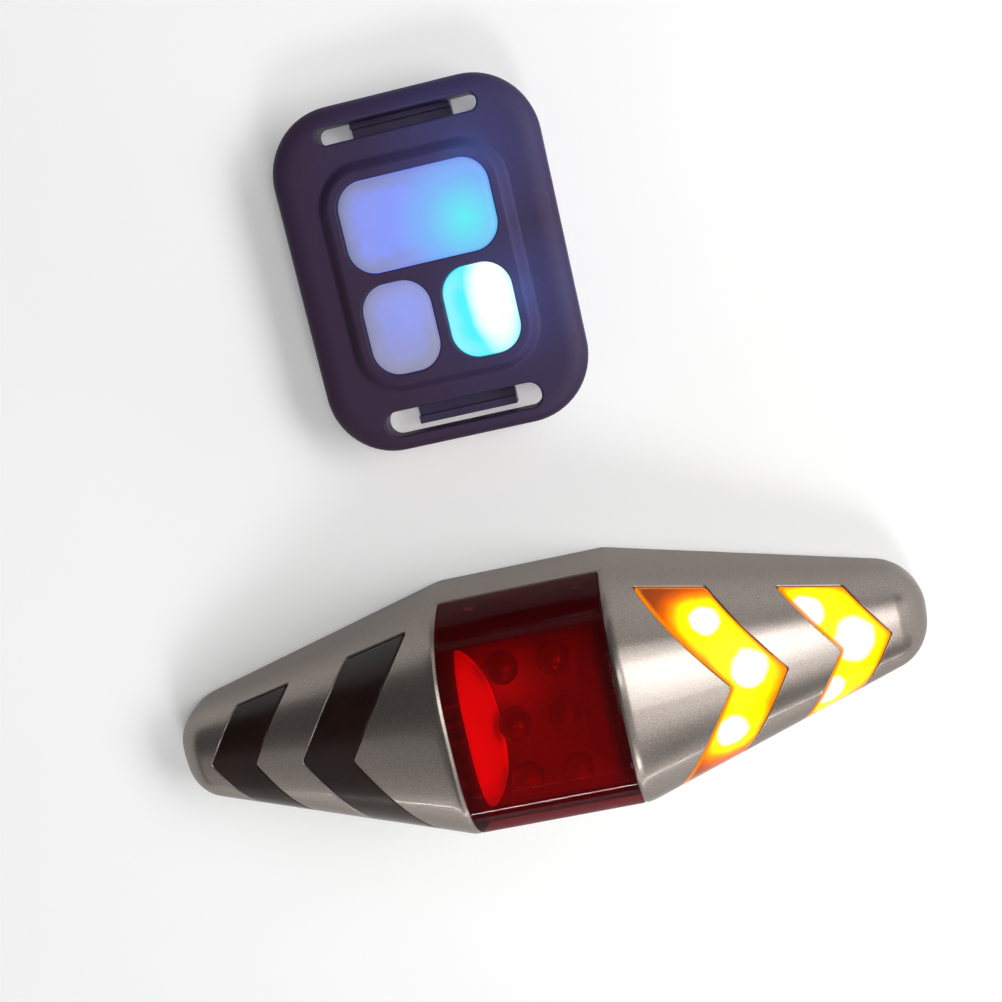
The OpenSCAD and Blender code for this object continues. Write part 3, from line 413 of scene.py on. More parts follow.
def even_run(reach, steps):
    """Even steps from minus a reach to plus it."""
    return [reach * (2 * i / steps - 1) for i in range(steps + 1)]


BODY_RUN = even_run(OUTLINE_END, BODY_STEPS)


def quarter_turns(steps):
    """Even steps through a right angle."""
    return [QUARTER * k / steps for k in range(steps + 1)]


def soft_loop(corners, radius, counts, arc=5):
    """Closed loop through corners, each rounded, with a fixed number of points on each side."""
    loop = []
    count = len(corners)
    cuts = []
    for i, corner in enumerate(corners):
        p = Vector(corner)
        back = (Vector(corners[i - 1]) - p).normalized()
        on = (Vector(corners[(i + 1) % count]) - p).normalized()
        cuts.append((p + back * radius, p, p + on * radius))
    for i, (enter, p, leave) in enumerate(cuts):
        for k in range(arc):
            t = k / arc
            loop.append(tuple(enter * (1 - t) ** 2 + p * 2 * t * (1 - t) + leave * t * t))
        loop.extend(subdivide(leave, cuts[(i + 1) % count][0], counts[i]))
    return loop


def round_rect(width, height, radius, centre=(0.0, 0.0), arc=10, side=14):
    """Rounded rectangle as a closed loop, counter-clockwise."""
    loop = []
    for i, (sx, sy) in enumerate(((1, 1), (-1, 1), (-1, -1), (1, -1))):
        middle = (centre[0] + sx * (width / 2 - radius), centre[1] + sy * (height / 2 - radius))
        turns = [QUARTER * (i + k / arc) for k in range(arc + 1)]
        bend = [(middle[0] + radius * math.cos(t), middle[1] + radius * math.sin(t)) for t in turns]
        if loop:
            loop.extend(subdivide(loop.pop(), bend[0], side))
        loop.extend(bend)
    loop.extend(subdivide(loop.pop(), loop[0], side))
    return loop


# Windows of the light

def lens_loop(grow):
    """Edge of the red lens as places on the body's sheet, counter-clockwise from the front."""
    half, foot = LENS_HALF + grow, LENS_START - grow
    first = turn_at_height(half, foot)
    right = subdivide((half, first), (half, math.pi - first), LENS_ROUND_STEPS)
    left = [(-x, math.pi - turn) for x, turn in right]
    top = [(x, math.pi - turn_at_height(x, foot)) for x, _ in subdivide((half, 0), (-half, 0), LENS_STEPS)]
    low = [(x, turn_at_height(x, foot)) for x, _ in subdivide((-half, 0), (half, 0), LENS_STEPS)]
    return (right + top + left + low)[::-1]


def chevron_loop(point, width, side, grow):
    """Edge of a chevron window on one side, as places on the body's sheet."""
    stretch = math.hypot(1, CHEVRON_SWEEP)

    def arm_end(x):
        reach = HALF_HEIGHT - TAPER * (x - TAPER_START) - CHEVRON_MARGIN + grow / math.cos(TAPER_ANGLE)
        y = reach / (1 - TAPER * CHEVRON_SWEEP)
        return x - CHEVRON_SWEEP * y, y

    outer, inner = point + grow * stretch, point - width - grow * stretch
    (ox, oy), (ix, iy) = arm_end(outer), arm_end(inner)
    corners = [(outer, 0), (ox, oy), (ix, iy), (inner, 0), (ix, -iy), (ox, -oy)]
    counts = [ARM_STEPS, ARM_END_STEPS, ARM_STEPS] * 2
    loop = soft_loop(corners, CHEVRON_CORNER, counts)
    if side < 0:
        loop = [(-x, y) for x, y in reversed(loop)]
    return [sheet_place(x, y) for x, y in loop]


def window_loops():
    """Loop makers of the five windows by name."""
    loops = {"red_lens": lens_loop}
    for side, side_name in ((-1, "left"), (1, "right")):
        for name, point, width in (("inner", INNER_POINT, INNER_WIDTH), ("outer", OUTER_POINT, OUTER_WIDTH)):
            loops[f"{side_name}_{name}_chevron"] = partial(chevron_loop, point, width, side)
    return loops


def rolled_ring(loop, drop, tilt):
    """Ring of a rolled edge, dropped below the surface, with normals tilted across the edge."""
    points = [body_point(*place) for place in loop]
    ring = []
    for i, place in enumerate(loop):
        normal = body_normal(*place)
        run = points[(i + 1) % len(points)] - points[i - 1]
        inward = normal.cross(run).normalized()
        ring.append((points[i] - normal * drop, normal * math.cos(tilt) + inward * math.sin(tilt)))
    return ring


def bevel_profile(size):
    """Steps over a bevel, each a distance from the opening, a drop and a tilt of the normal."""
    drop = size * math.tan(BEVEL_TILT)
    bends = [(away * size, share * drop, BEVEL_TILT) for away, share in BEVEL_BENDS]
    return [(size, 0.0, 0.0), *bends, (0.0, BEVEL_LIP * drop, QUARTER)]


def roll_profile(size):
    """Steps over a rolled edge, each as in a bevel's profile."""
    tilts = quarter_turns(WINDOW_ROLL_STEPS)
    return [(size * (1 - math.sin(t)), size * (1 - math.cos(t)), t) for t in tilts]


def window_edge(shell, make_loop, base, sign, profile):
    """Turns the surface over at a window's edge; the sign is 1 for the housing and -1 for a lens."""
    rings = [
        rolled_ring(make_loop(base + sign * away), drop, sign * tilt) for away, drop, tilt in profile]
    shell.bands(rings)
    return rings[-1]


def body_sheet(shell, outline, holes, spacing, inset=0.0, face=1):
    """Covers part of the body's surface, seen from outside or, with face -1, from inside."""
    def flat(loop):
        return [(along, turn * TURN_SCALE) for along, turn in loop]

    def to_pair(along, scaled):
        turn = scaled / TURN_SCALE
        return body_point(along, turn, inset), body_normal(along, turn) * face

    shell.sheet(to_pair, spacing, flat(outline), [flat(hole) for hole in holes])


def window_wall(shell, ring, loop, inset):
    """Wall from a rolled edge down to the inner surface."""
    floor = [(body_point(along, turn, inset), normal) for (along, turn), (_, normal) in zip(loop, ring)]
    shell.band(ring, floor)


# Housing of the light

def housing_outside(shell, openings):
    """Outer surface round the windows, and the flat ends at the two tips."""
    outline = [(u, 0.0) for u in BODY_RUN]
    outline += [(OUTLINE_END, math.pi * k / NOSE_STEPS) for k in range(1, NOSE_STEPS)]
    outline += [(u, math.pi) for u in reversed(BODY_RUN)]
    outline += [(-OUTLINE_END, math.pi * (1 - k / NOSE_STEPS)) for k in range(1, NOSE_STEPS)]
    body_sheet(shell, outline, openings, HOUSING_SPACING)
    for side in (-1, 1):
        tip = [body_point(side * OUTLINE_END, math.pi * k / NOSE_STEPS) for k in range(NOSE_STEPS + 1)]
        middle = Vector((tip[0].x, 0, 0))
        for a, b in zip(tip, tip[1:]):
            shell.face([shell.corner(p, (side, 0, 0)) for p in (a, b, middle)])


def ledge_places():
    """Inner edge of the ledge on the inner surface, one place for each step of the outline."""
    limit = OUTLINE_END
    while station(limit, HOUSING_WALL)[1] * depth_ratio(HOUSING_WALL) < LEDGE_Z:
        limit -= LIMIT_STEP
    inner = [max(-limit, min(limit, u)) for u in BODY_RUN]
    return [(u, turn_at_height(u, LEDGE_Z, HOUSING_WALL)) for u in inner]


def housing_inside(shell, openings):
    """Inner surface round the windows, down to the ledge."""
    upper = ledge_places()
    edge = upper + [(u, math.pi - turn) for u, turn in reversed(upper)]
    steps = [abs(p[0] - q[0]) + abs(p[1] - q[1]) for p, q in zip(edge, edge[1:] + edge[:1])]
    edge = [place for place, step in zip(edge, steps) if step > TINY]
    body_sheet(shell, edge, openings, INSIDE_SPACING, HOUSING_WALL, -1)


def housing_foot(shell):
    """Foot of the wall, the thinner rim above it and the ledge that the rim ends at."""
    foot, rim, ledge, inward = [], [], [], []
    rows = list(zip(BODY_RUN, ledge_places()))
    for side, steps in ((1, rows), (-1, rows[::-1])):
        for along, (inner, turn) in steps:
            x, half, _ = station(along)
            foot.append(Vector((x, side * half, 0)))
            x, half, slope = station(along, RIM_WALL)
            rim.append(Vector((x, side * half, 0)))
            inward.append(Vector((slope, -side, 0)).normalized())
            ledge.append(body_point(inner, turn if side > 0 else math.pi - turn, HOUSING_WALL))
    rise = UP * LEDGE_Z
    shell.band([(p, DOWN) for p in foot], [(p, DOWN) for p in rim])
    shell.band(list(zip(rim, inward)), [(p + rise, n) for p, n in zip(rim, inward)])
    shell.band([(p + rise, DOWN) for p in rim], [(p, DOWN) for p in ledge])


def front_housing(painted, bare):
    """Painted housing with its five windows; their walls, the inside and the foot are bare."""
    shell = Shell()
    windows = [
        (make, bevel_profile(LENS_WINDOW_BEVEL) if name == "red_lens" else roll_profile(EDGE_ROLL))
        for name, make in window_loops().items()]
    housing_outside(shell, [make(profile[0][0]) for make, profile in windows])
    for make, profile in windows:
        shell.mark = 0
        ring = window_edge(shell, make, 0.0, 1, profile)
        shell.mark = 1
        window_wall(shell, ring, make(0.0), HOUSING_WALL)
    housing_inside(shell, [make(0.0) for make, _ in windows])
    housing_foot(shell)
    shell.build("silver_front_housing", "light", [painted, bare], "housing_paint", "front_housing")


# Lenses and reflector

def lens_piece(name, make_loop, material, slot, spacing):
    """Clear lens flush with the housing, with rolled edges and an inner face."""
    shell = Shell()
    body_sheet(shell, make_loop(-WINDOW_GAP - EDGE_ROLL), [], spacing)
    ring = window_edge(shell, make_loop, -WINDOW_GAP, -1, roll_profile(EDGE_ROLL))
    loop = make_loop(-WINDOW_GAP)
    window_wall(shell, ring, loop, LENS_INSET)
    body_sheet(shell, loop, [], spacing, LENS_INSET, -1)
    edge = [body_point(*place) for place in loop]
    shell.build(f"{name}_clear", "light", [material], slot, name, edge=edge)


# Sides of the reflector's profile that are its left wall and the roll at the wall's foot; every other side
# takes the darker material of painted shade
WHITE_SIDES = {2, 3}


def reflector_profile(y):
    """Closed profile of the reflector at a place across the light."""
    top = section_height(0, TUB_INSET)
    rim = section_height(y, TUB_INSET)
    slant = (TUB_TOP_HALF - TUB_FLOOR_HALF) * (rim - TUB_FLOOR) / (top - TUB_FLOOR)
    wall_foot = TUB_TOP_HALF - slant
    half = [
        (0, TUB_FLOOR), (wall_foot - TUB_ROLL, TUB_FLOOR),
        (wall_foot, TUB_FLOOR + TUB_ROLL_RISE), (TUB_TOP_HALF, rim),
        (TUB_HALF, rim), (TUB_HALF, TUB_BASE), (0, TUB_BASE)]
    loop = [(-x, z) for x, z in reversed(half[1:-1])] + half
    return [Vector((x, y, z)) for x, z in loop]


def reflector_tub(white, painted_light_and_shade):
    """Tub with slanted side walls whose rim follows the lens; its left wall is white, and its other sides
    carry painted shade.
    """
    shell = Shell()
    rows = even_run(TUB_REACH, TUB_STEPS)
    profiles = [reflector_profile(y) for y in rows]
    for first, second in zip(profiles, profiles[1:]):
        for i in range(len(first)):
            j = (i + 1) % len(first)
            # Every side but the white ones takes the material of painted light and shade
            shell.mark = int(i not in WHITE_SIDES)
            shell.flat_quad(first[i], first[j], second[j], second[i])
    shell.mark = 1
    for profile, y, out in ((profiles[0], rows[0], -1), (profiles[-1], rows[-1], 1)):
        shell.sheet(
            lambda x, z: (Vector((x, y, z)), Vector((0, out, 0))),
            TUB_SPACING, [(p.x, p.z) for p in profile])
    shell.build("brake_reflector_tub", "light", [white, painted_light_and_shade], "reflector_white", "brake_reflector")


# Remote

def rect_distance(x, y, width, height, radius):
    """Distance inside a rounded rectangle's edge, below nought outside it."""
    dx, dy = abs(x) - (width / 2 - radius), abs(y) - (height / 2 - radius)
    return radius - math.hypot(max(dx, 0), max(dy, 0)) - min(max(dx, dy), 0)


def remote_top(x, y):
    """Height of the remote's front over a place seen from the front."""
    edge = rect_distance(x, y, REMOTE_WIDTH, REMOTE_HEIGHT, REMOTE_CORNER)
    lean = 1 - min(1.0, max(0.0, edge) / FLANGE_ROLL)
    height = FLANGE_TOP - FLANGE_DROP * (1 - math.sqrt(1 - lean * lean))
    share = min(1.0, max(0.0, rect_distance(x, y, PANEL_WIDTH, PANEL_HEIGHT, PANEL_CORNER) / PANEL_SLOPE))
    return height + PANEL_RISE * share * share * (3 - 2 * share)


def remote_point(x, y, z):
    return Vector((REMOTE_X + x, REMOTE_Y + y, z))


def top_pair(x, y, drop=0.0):
    """Point of the remote's front, dropped if need be, and the front's normal there."""
    lean_x = (remote_top(x + LEAN_STEP, y) - remote_top(x - LEAN_STEP, y)) / (2 * LEAN_STEP)
    lean_y = (remote_top(x, y + LEAN_STEP) - remote_top(x, y - LEAN_STEP)) / (2 * LEAN_STEP)
    return remote_point(x, y, remote_top(x, y) - drop), Vector((-lean_x, -lean_y, 1)).normalized()


def key_hole_loop(width, centre, grow):
    spread = 2 * (KEY_HOLE_GAP + grow)
    return round_rect(width + spread, KEY_HEIGHT + spread, KEY_CORNER + KEY_HOLE_GAP + grow, centre)


def slot_loop(width, row, grow):
    spread = 2 * grow
    return round_rect(
        SLOT_LENGTH + spread, width + spread, width / 2 - SLOT_END_FLAT + grow, (0.0, row),
        side=SLOT_SIDE_STEPS)


def remote_loop(width, height, corner, inset):
    """Rounded rectangle of the remote's front, drawn in by an inset."""
    return round_rect(
        width - 2 * inset, height - 2 * inset, corner - inset, arc=REMOTE_ARC_STEPS, side=REMOTE_SIDE_STEPS)


def remote_outline(inset):
    return remote_loop(REMOTE_WIDTH, REMOTE_HEIGHT, REMOTE_CORNER, inset)


def inward_normals(loop):
    """Level normals into a counter-clockwise loop, one at each of its points."""
    normals = []
    for i in range(len(loop)):
        run = Vector(loop[(i + 1) % len(loop)]) - Vector(loop[i - 1])
        normals.append(Vector((-run.y, run.x, 0)).normalized())
    return normals


def level_ring(loop, z, normals):
    """Ring of (point, normal) pairs on one level of the remote."""
    return [(remote_point(*place, z), normal) for place, normal in zip(loop, normals)]


def level_sheet(shell, outline, holes, z, spacing):
    """Flat face of the remote that looks down."""
    shell.sheet(lambda x, y: (remote_point(x, y, z), DOWN), spacing, outline, holes)


def remote_opening(shell, make_loop, roll, foot):
    """Rolled edge and wall of an opening in the remote's front."""
    rings = []
    for tilt in quarter_turns(OPENING_ROLL_STEPS):
        loop = make_loop(roll * (1 - math.sin(tilt)))
        ring = []
        for place, inward in zip(loop, inward_normals(loop)):
            point, normal = top_pair(*place, drop=roll * (1 - math.cos(tilt)))
            ring.append((point, normal * math.cos(tilt) + inward * math.sin(tilt)))
        rings.append(ring)
    loop = make_loop(0.0)
    rings.append(level_ring(loop, foot, inward_normals(loop)))
    shell.bands(rings)


def remote_side(shell):
    """Rolled edge of the front, the side below it and the roll at its foot."""
    last = math.acos(1 - FRONT_INSET / FLANGE_ROLL)
    rings = []
    for k in range(FLANGE_ROLL_STEPS + 1):
        turn = last * (1 - k / FLANGE_ROLL_STEPS)
        loop = remote_outline(FLANGE_ROLL * (1 - math.cos(turn)))
        z = FLANGE_TOP - FLANGE_DROP * (1 - math.sin(turn))
        lean = Vector((math.cos(turn) / FLANGE_ROLL, math.sin(turn) / FLANGE_DROP)).normalized()
        rings.append(level_ring(loop, z, [UP * lean.y - n * lean.x for n in inward_normals(loop)]))
    edge = remote_outline(0.0)
    outward = [-n for n in inward_normals(edge)]
    rings.append(level_ring(edge, SHELL_FOOT + SHELL_FOOT_ROLL, outward))
    rings.append(level_ring(remote_outline(SHELL_FOOT_ROLL), SHELL_FOOT, [n + DOWN for n in outward]))
    shell.bands(rings)


def remote_underside(shell, holes, slots):
    """Foot, the cavity above it and the room for the keys."""
    foot = remote_outline(SHELL_FOOT_ROLL)
    cavity = round_rect(CAVITY_WIDTH, CAVITY_HEIGHT, CAVITY_CORNER)
    room = round_rect(KEY_ROOM_WIDTH, KEY_ROOM_HEIGHT, KEY_CORNER)
    levels = (
        (foot, [cavity, *slots], SHELL_FOOT),
        (cavity, [room], FLANGE_CEILING),
        (room, holes, PANEL_UNDERSIDE))
    for outline, gaps, z in levels:
        level_sheet(shell, outline, gaps, z, UNDERSIDE_SPACING)
    for loop, low, high in ((cavity, SHELL_FOOT, FLANGE_CEILING), (room, FLANGE_CEILING, PANEL_UNDERSIDE)):
        inward = inward_normals(loop)
        shell.band(level_ring(loop, low, inward), level_ring(loop, high, inward))


def remote_shell(material):
    """Front cover of the remote, with its raised panel, key holes and strap slots."""
    shell = Shell()
    holes = [
        (partial(key_hole_loop, width, centre), KEY_HOLE_ROLL, PANEL_UNDERSIDE)
        for width, centre in KEY_SHAPES.values()]
    slots = [
        (partial(slot_loop, width, row), SLOT_ROLL, SHELL_FOOT)
        for width, row in ((TOP_SLOT_WIDTH, SLOT_ROW), (FOOT_SLOT_WIDTH, -SLOT_ROW))]
    slope_lines = [
        remote_loop(PANEL_WIDTH, PANEL_HEIGHT, PANEL_CORNER, inset)
        for inset in np.linspace(0.0, PANEL_SLOPE, PANEL_SLOPE_LINES)]
    edges = [make(roll) for make, roll, _ in holes + slots]
    shell.sheet(top_pair, REMOTE_SPACING, remote_outline(FRONT_INSET), edges, slope_lines)
    remote_side(shell)
    for make, roll, foot in holes + slots:
        remote_opening(shell, make, roll, foot)
    remote_underside(shell, [make(0.0) for make, _, _ in holes], [make(0.0) for make, _, _ in slots])
    shell.build("remote_front_shell", "remote", [material], "remote_plastic", "remote_front")


def soft_key(name, width, centre, material):
    """Silicone key with a hidden flange, a rolled rim and a slightly crowned top."""
    shell = Shell()
    rim_height = KEY_TOP - KEY_CROWN

    def loop(inset):
        return round_rect(width - 2 * inset, KEY_HEIGHT - 2 * inset, KEY_CORNER - inset, centre)

    def crowned(x, y):
        across = 2 * (x - centre[0]) / width
        along = 2 * (y - centre[1]) / KEY_HEIGHT
        rise = KEY_CROWN * (1 - across * across) * (1 - along * along)
        normal = Vector((across * CROWN_LEAN, along * CROWN_LEAN, 1)).normalized()
        return remote_point(x, y, rim_height + rise), normal

    edge, flange = loop(0.0), loop(-KEY_FLANGE)
    outward = [-n for n in inward_normals(edge)]
    level = [UP] * len(edge)
    level_sheet(shell, flange, [], KEY_FLANGE_FOOT, KEY_FOOT_SPACING)
    shell.band(level_ring(flange, KEY_FLANGE_FOOT, outward), level_ring(flange, KEY_FLANGE_TOP, outward))
    shell.band(level_ring(flange, KEY_FLANGE_TOP, level), level_ring(edge, KEY_FLANGE_TOP, level))
    rings = [level_ring(edge, KEY_FLANGE_TOP, outward)]
    for turn in quarter_turns(KEY_ROLL_STEPS):
        z = rim_height - KEY_ROLL + KEY_ROLL * math.sin(turn)
        normals = [n * math.cos(turn) + UP * math.sin(turn) for n in outward]
        rings.append(level_ring(loop(KEY_ROLL * (1 - math.cos(turn))), z, normals))
    shell.bands(rings)
    shell.sheet(crowned, KEY_SPACING, loop(KEY_ROLL))
    rim = [remote_point(*place, KEY_TOP) for place in edge]
    shell.build(f"{name}_cap", name, [material], "key_silicone", name, edge=rim)


# Materials

# Where a noise's darker and lighter parts start
NOISE_LOW = 0.3
NOISE_HIGH = 0.7
NOISE_ROUGHNESS = 0.55

# Colour sockets of a mix node
MIX_FIRST = 6
MIX_SECOND = 7
MIX_RESULT = 2


class Paint:
    """A node material and the steps that build it."""

    def __init__(self, name):
        self.material = bpy.data.materials.new(name)
        self.material.use_nodes = True
        self.tree = self.material.node_tree
        self.tree.nodes.clear()
        self.coords = self.add("TexCoord").outputs["Object"]
        self.output = self.add("OutputMaterial")

    def add(self, kind, inputs=None, **settings):
        node = self.tree.nodes.new(f"ShaderNode{kind}")
        for key, value in settings.items():
            setattr(node, key, value)
        for key, value in (inputs or {}).items():
            if isinstance(value, bpy.types.NodeSocket):
                self.tree.links.new(value, node.inputs[key])
            else:
                node.inputs[key].default_value = value
        return node

    def noise(self, scale, detail=3.0):
        return self.add("TexNoise", {
            "Vector": self.coords, "Scale": scale, "Detail": detail,
            "Roughness": NOISE_ROUGHNESS}).outputs["Fac"]

    def ramp(self, value, stops):
        node = self.add("ValToRGB", {"Fac": value})
        elements = node.color_ramp.elements
        while len(elements) < len(stops):
            elements.new(1.0)
        for element, (place, colour) in zip(elements, stops):
            element.position = place
            element.color = (*colour, 1.0)
        return node.outputs["Color"]

    def mottle(self, noise, dark, light):
        return self.ramp(noise, [(NOISE_LOW, dark), (NOISE_HIGH, light)])

    def spread(self, value, low, high, start=NOISE_LOW, end=NOISE_HIGH):
        """Goes from low to high as a value goes from start to end."""
        return self.add("MapRange", {
            "Value": value, "From Min": start, "From Max": end,
            "To Min": low, "To Max": high}).outputs["Result"]

    def math(self, operation, first, second=0.0):
        return self.add("Math", {0: first, 1: second}, operation=operation).outputs[0]

    def bump(self, height, strength, distance):
        return self.add("Bump", {
            "Height": height, "Strength": strength, "Distance": distance}).outputs["Normal"]

    def nearest(self, spots, stretch=(1.0, 1.0, 1.0)):
        """Distance in millimetres to the nearest spot, each a place and a size it is divided by."""
        value = None
        for place, size in spots:
            offset = self.add("VectorMath", {
                0: self.coords, 1: [c * MM for c in place]}, operation="SUBTRACT").outputs["Vector"]
            scaled = self.add("VectorMath", {
                0: offset, 1: [c / (MM * size) for c in stretch]}, operation="MULTIPLY").outputs["Vector"]
            gap = self.add("VectorMath", {0: scaled}, operation="LENGTH").outputs["Value"]
            value = gap if value is None else self.math("MINIMUM", value, gap)
        return value

    def falloff(self, spots, reach, ripple, stretch=(1.0, 1.0, 1.0)):
        """Distance to the nearest spot as a share of a reach, made uneven by a ripple."""
        distance = self.math("MULTIPLY", self.nearest(spots, stretch), ripple)
        return self.math("DIVIDE", distance, reach)

    def warmth(self, spots, reach):
        """Sum of soft glows round some spots, each 1 at its own place."""
        total = None
        for spot in spots:
            share = self.math("DIVIDE", self.nearest([spot]), reach)
            square = self.math("MULTIPLY", share, share)
            glow = self.math("EXPONENT", self.math("MULTIPLY", square, -1.0))
            total = glow if total is None else self.math("ADD", total, glow)
        return total

    def reach(self, axis, start, end, both_ways=True):
        """Rises from 0 to 1 between two places in millimetres on an axis, both ways or one way."""
        place = self.add("SeparateXYZ", {"Vector": self.coords}).outputs[axis]
        if both_ways:
            place = self.math("ABSOLUTE", place)
        return self.spread(place, 0.0, 1.0, start * MM, end * MM)

    def rim(self):
        """Distance from the piece's edge in millimetres."""
        return self.add("Attribute", attribute_name="rim").outputs["Fac"]

    def blend(self, share, first, second):
        """Colour between two, by a share."""
        inputs = {"Factor": share}
        for socket, colour in ((MIX_FIRST, first), (MIX_SECOND, second)):
            inputs[socket] = colour if isinstance(colour, bpy.types.NodeSocket) else (*colour, 1.0)
        return self.add("Mix", inputs, data_type="RGBA").outputs[MIX_RESULT]

    def finish(self, inputs):
        shader = self.add("BsdfPrincipled", inputs)
        self.tree.links.new(shader.outputs["BSDF"], self.output.inputs["Surface"])
        return self.material


# Moulded surfaces: size of their clouds of colour in grains, uneven gloss and depth of the grain
CLOUD_SIZE = 9
DULLER = 1.15
GLOSSIER = 0.85
GRAIN_DEPTH = 0.0001


def moulded(name, dark, light, rough, grain=900.0, relief=0.15, **extra):
    """Moulded plastic, rubber, metal or board: two close colours, uneven gloss and a fine grain."""
    paint = Paint(name)
    fine = paint.noise(grain, detail=4.0)
    broad = paint.noise(grain / CLOUD_SIZE)
    inputs = {
        "Base Color": paint.mottle(broad, dark, light),
        "Roughness": paint.spread(fine, rough * GLOSSIER, rough * DULLER),
        "Normal": paint.bump(fine, relief, GRAIN_DEPTH)}
    inputs.update(extra)
    return paint.finish(inputs)


def silver_paint():
    """Warm silver paint with fine flakes, under a thin clear coat."""
    paint = Paint("silver_paint")
    flake = paint.noise(5200.0, detail=2.0)
    cloud = paint.noise(70.0)
    fleck = paint.math("MULTIPLY", flake, cloud)
    return paint.finish({
        "Base Color": paint.mottle(flake, (0.2, 0.172, 0.153), (0.344, 0.299, 0.268)),
        "Metallic": 0.9,
        "Specular Tint": (0.4, 0.37, 0.35, 1.0),
        "Roughness": paint.spread(fleck, 0.33, 0.41, start=0.15, end=0.45),
        "Normal": paint.bump(flake, strength=0.02, distance=0.00003),
        "Coat Weight": 0.35,
        "Coat Roughness": 0.04})


def clear_red():
    """Clear red plastic with a faint haze; painted shade darkens its borders, most of all its low edge."""
    paint = Paint("clear_red")
    haze = paint.noise(260.0, detail=2.0)
    # Painted shade: darker towards the lens's left and right sides and its upper and lower borders
    edge = paint.math("MAXIMUM", paint.reach("X", 10.0, 11.6), paint.reach("Y", 12.0, 15.0))
    clear = paint.mottle(haze, (0.95, 0.011, 0.019), (0.99, 0.014, 0.024))
    shaded_sides = paint.blend(edge, clear, (0.5, 0.02, 0.032))
    # More painted shade: darkest along the lens's low edge
    shaded_low_edge = paint.reach("Y", -11.0, -13.0, both_ways=False)
    shoulder = paint.reach("Y", 10.8, 12.8)
    return paint.finish({
        "Base Color": paint.blend(shaded_low_edge, shaded_sides, (0.15, 0.009, 0.014)),
        "Roughness": paint.spread(haze, 0.015, 0.03),
        "IOR": 1.003,
        "Transmission Weight": 0.94,
        "Coat Weight": paint.spread(shoulder, 0.4, 0.14, start=0.0, end=1.0),
        "Coat Roughness": 0.02})


def smoked_amber():
    """Dark amber plastic of an unlit lens, hardly clear, with a painted reflection making its lower arm's
    end paler.
    """
    paint = Paint("smoked_amber")
    haze = paint.noise(240.0)
    dark = paint.mottle(haze, (0.02, 0.009, 0.006), (0.038, 0.014, 0.0084))
    # Painted reflection: paler towards the lower arm's end
    low_arm_reflection = paint.reach("Y", -4.0, -11.0, both_ways=False)
    return paint.finish({
        "Base Color": paint.blend(low_arm_reflection, dark, (0.062, 0.034, 0.026)),
        "Roughness": paint.spread(haze, 0.1, 0.16),
        "IOR": 1.05,
        "Transmission Weight": 0.45,
        "Coat Weight": 0.45,
        "Coat Roughness": 0.3})


# Painted glow of the lit amber lenses: reach of each lamp's warmth, size of its white spot, and colours by
# warmth
WARMTH_REACH = 5.6
LAMP_SPOT = 2.9
AMBER_STOPS = [
    (0.0, (0.1, 0.012, 0.003)), (0.12, (0.22, 0.022, 0.004)), (0.3, (0.66, 0.09, 0.0)),
    (0.46, (1.0, 0.32, 0.0)), (0.6, (1.0, 0.72, 0.0)), (0.74, (1.0, 0.98, 0.0)), (1.0, (1.0, 1.0, 0.01))]
CORE_STOPS = [(0.0, (1.0, 1.0, 1.0)), (0.8, (1.0, 1.0, 1.0)), (1.0, (0.0, 0.0, 0.0))]
LAMP_WHITE = (1.0, 1.0, 0.95)
RIM_ORANGE = (0.82, 0.2, 0.0)


def amber_painted_glow(name, spots):
    """Amber lens with a painted glow of the lamps behind it: white at each lamp, then yellow, and orange at
    its ends and edges.
    """
    paint = Paint(name)
    ripple = paint.spread(paint.noise(300.0, detail=2.0), 0.9, 1.1)
    warmth = paint.math("MULTIPLY", paint.warmth(spots, WARMTH_REACH), ripple)
    core = paint.ramp(paint.falloff(spots, LAMP_SPOT, ripple), CORE_STOPS)
    glow = paint.blend(core, paint.ramp(warmth, AMBER_STOPS), LAMP_WHITE)
    within = paint.spread(paint.math("MULTIPLY", paint.rim(), ripple), 0.0, 1.0, start=0.1, end=0.75)
    return paint.finish({
        "Base Color": paint.ramp(ripple, [(0.0, (0.1, 0.02, 0.0)), (1.0, (0.16, 0.04, 0.002))]),
        "Roughness": 0.2,
        "Specular IOR Level": 0.04,
        "Emission Color": paint.blend(within, RIM_ORANGE, glow),
        "Emission Strength": 1.2})


def key_painted_glow(name, place, stretch, stops, reach, rim_colour):
    """Translucent silicone key with a painted glow from one spot, greyer at its rim away from that spot."""
    paint = Paint(name)
    cloud = paint.noise(300.0)
    spot = (remote_point(*place, KEY_TOP), 1.0)
    share = paint.falloff([spot], reach, paint.spread(cloud, 0.95, 1.05), stretch)
    rim = paint.math("MULTIPLY", paint.rim(), paint.spread(cloud, 0.7, 1.3))
    within = paint.spread(rim, 0.0, 1.0, start=0.2, end=2.4)
    kept = paint.math("MAXIMUM", within, paint.spread(share, 1.0, 0.0, start=0.35, end=0.9))
    return paint.finish({
        "Base Color": paint.mottle(cloud, (0.05, 0.055, 0.07), (0.07, 0.075, 0.09)),
        "Roughness": paint.spread(cloud, 0.6, 0.7),
        "Specular IOR Level": 0.15,
        "Emission Color": paint.blend(kept, rim_colour, paint.ramp(share, stops)),
        "Emission Strength": 1.0,
        "Normal": paint.bump(paint.noise(2600.0), strength=0.06, distance=0.00005)})


# Place of a pool of light painted on the reflector's floor, and the greys of painted shade away from it
PAINTED_LIGHT_PLACE = (-4.5, 6.5, TUB_FLOOR)
PAINTED_LIGHT_REACH = 11.0
PAINTED_SHADE_GREYS = [(0.0, 0.42), (0.35, 0.2), (0.7, 0.07), (1.0, 0.045)]


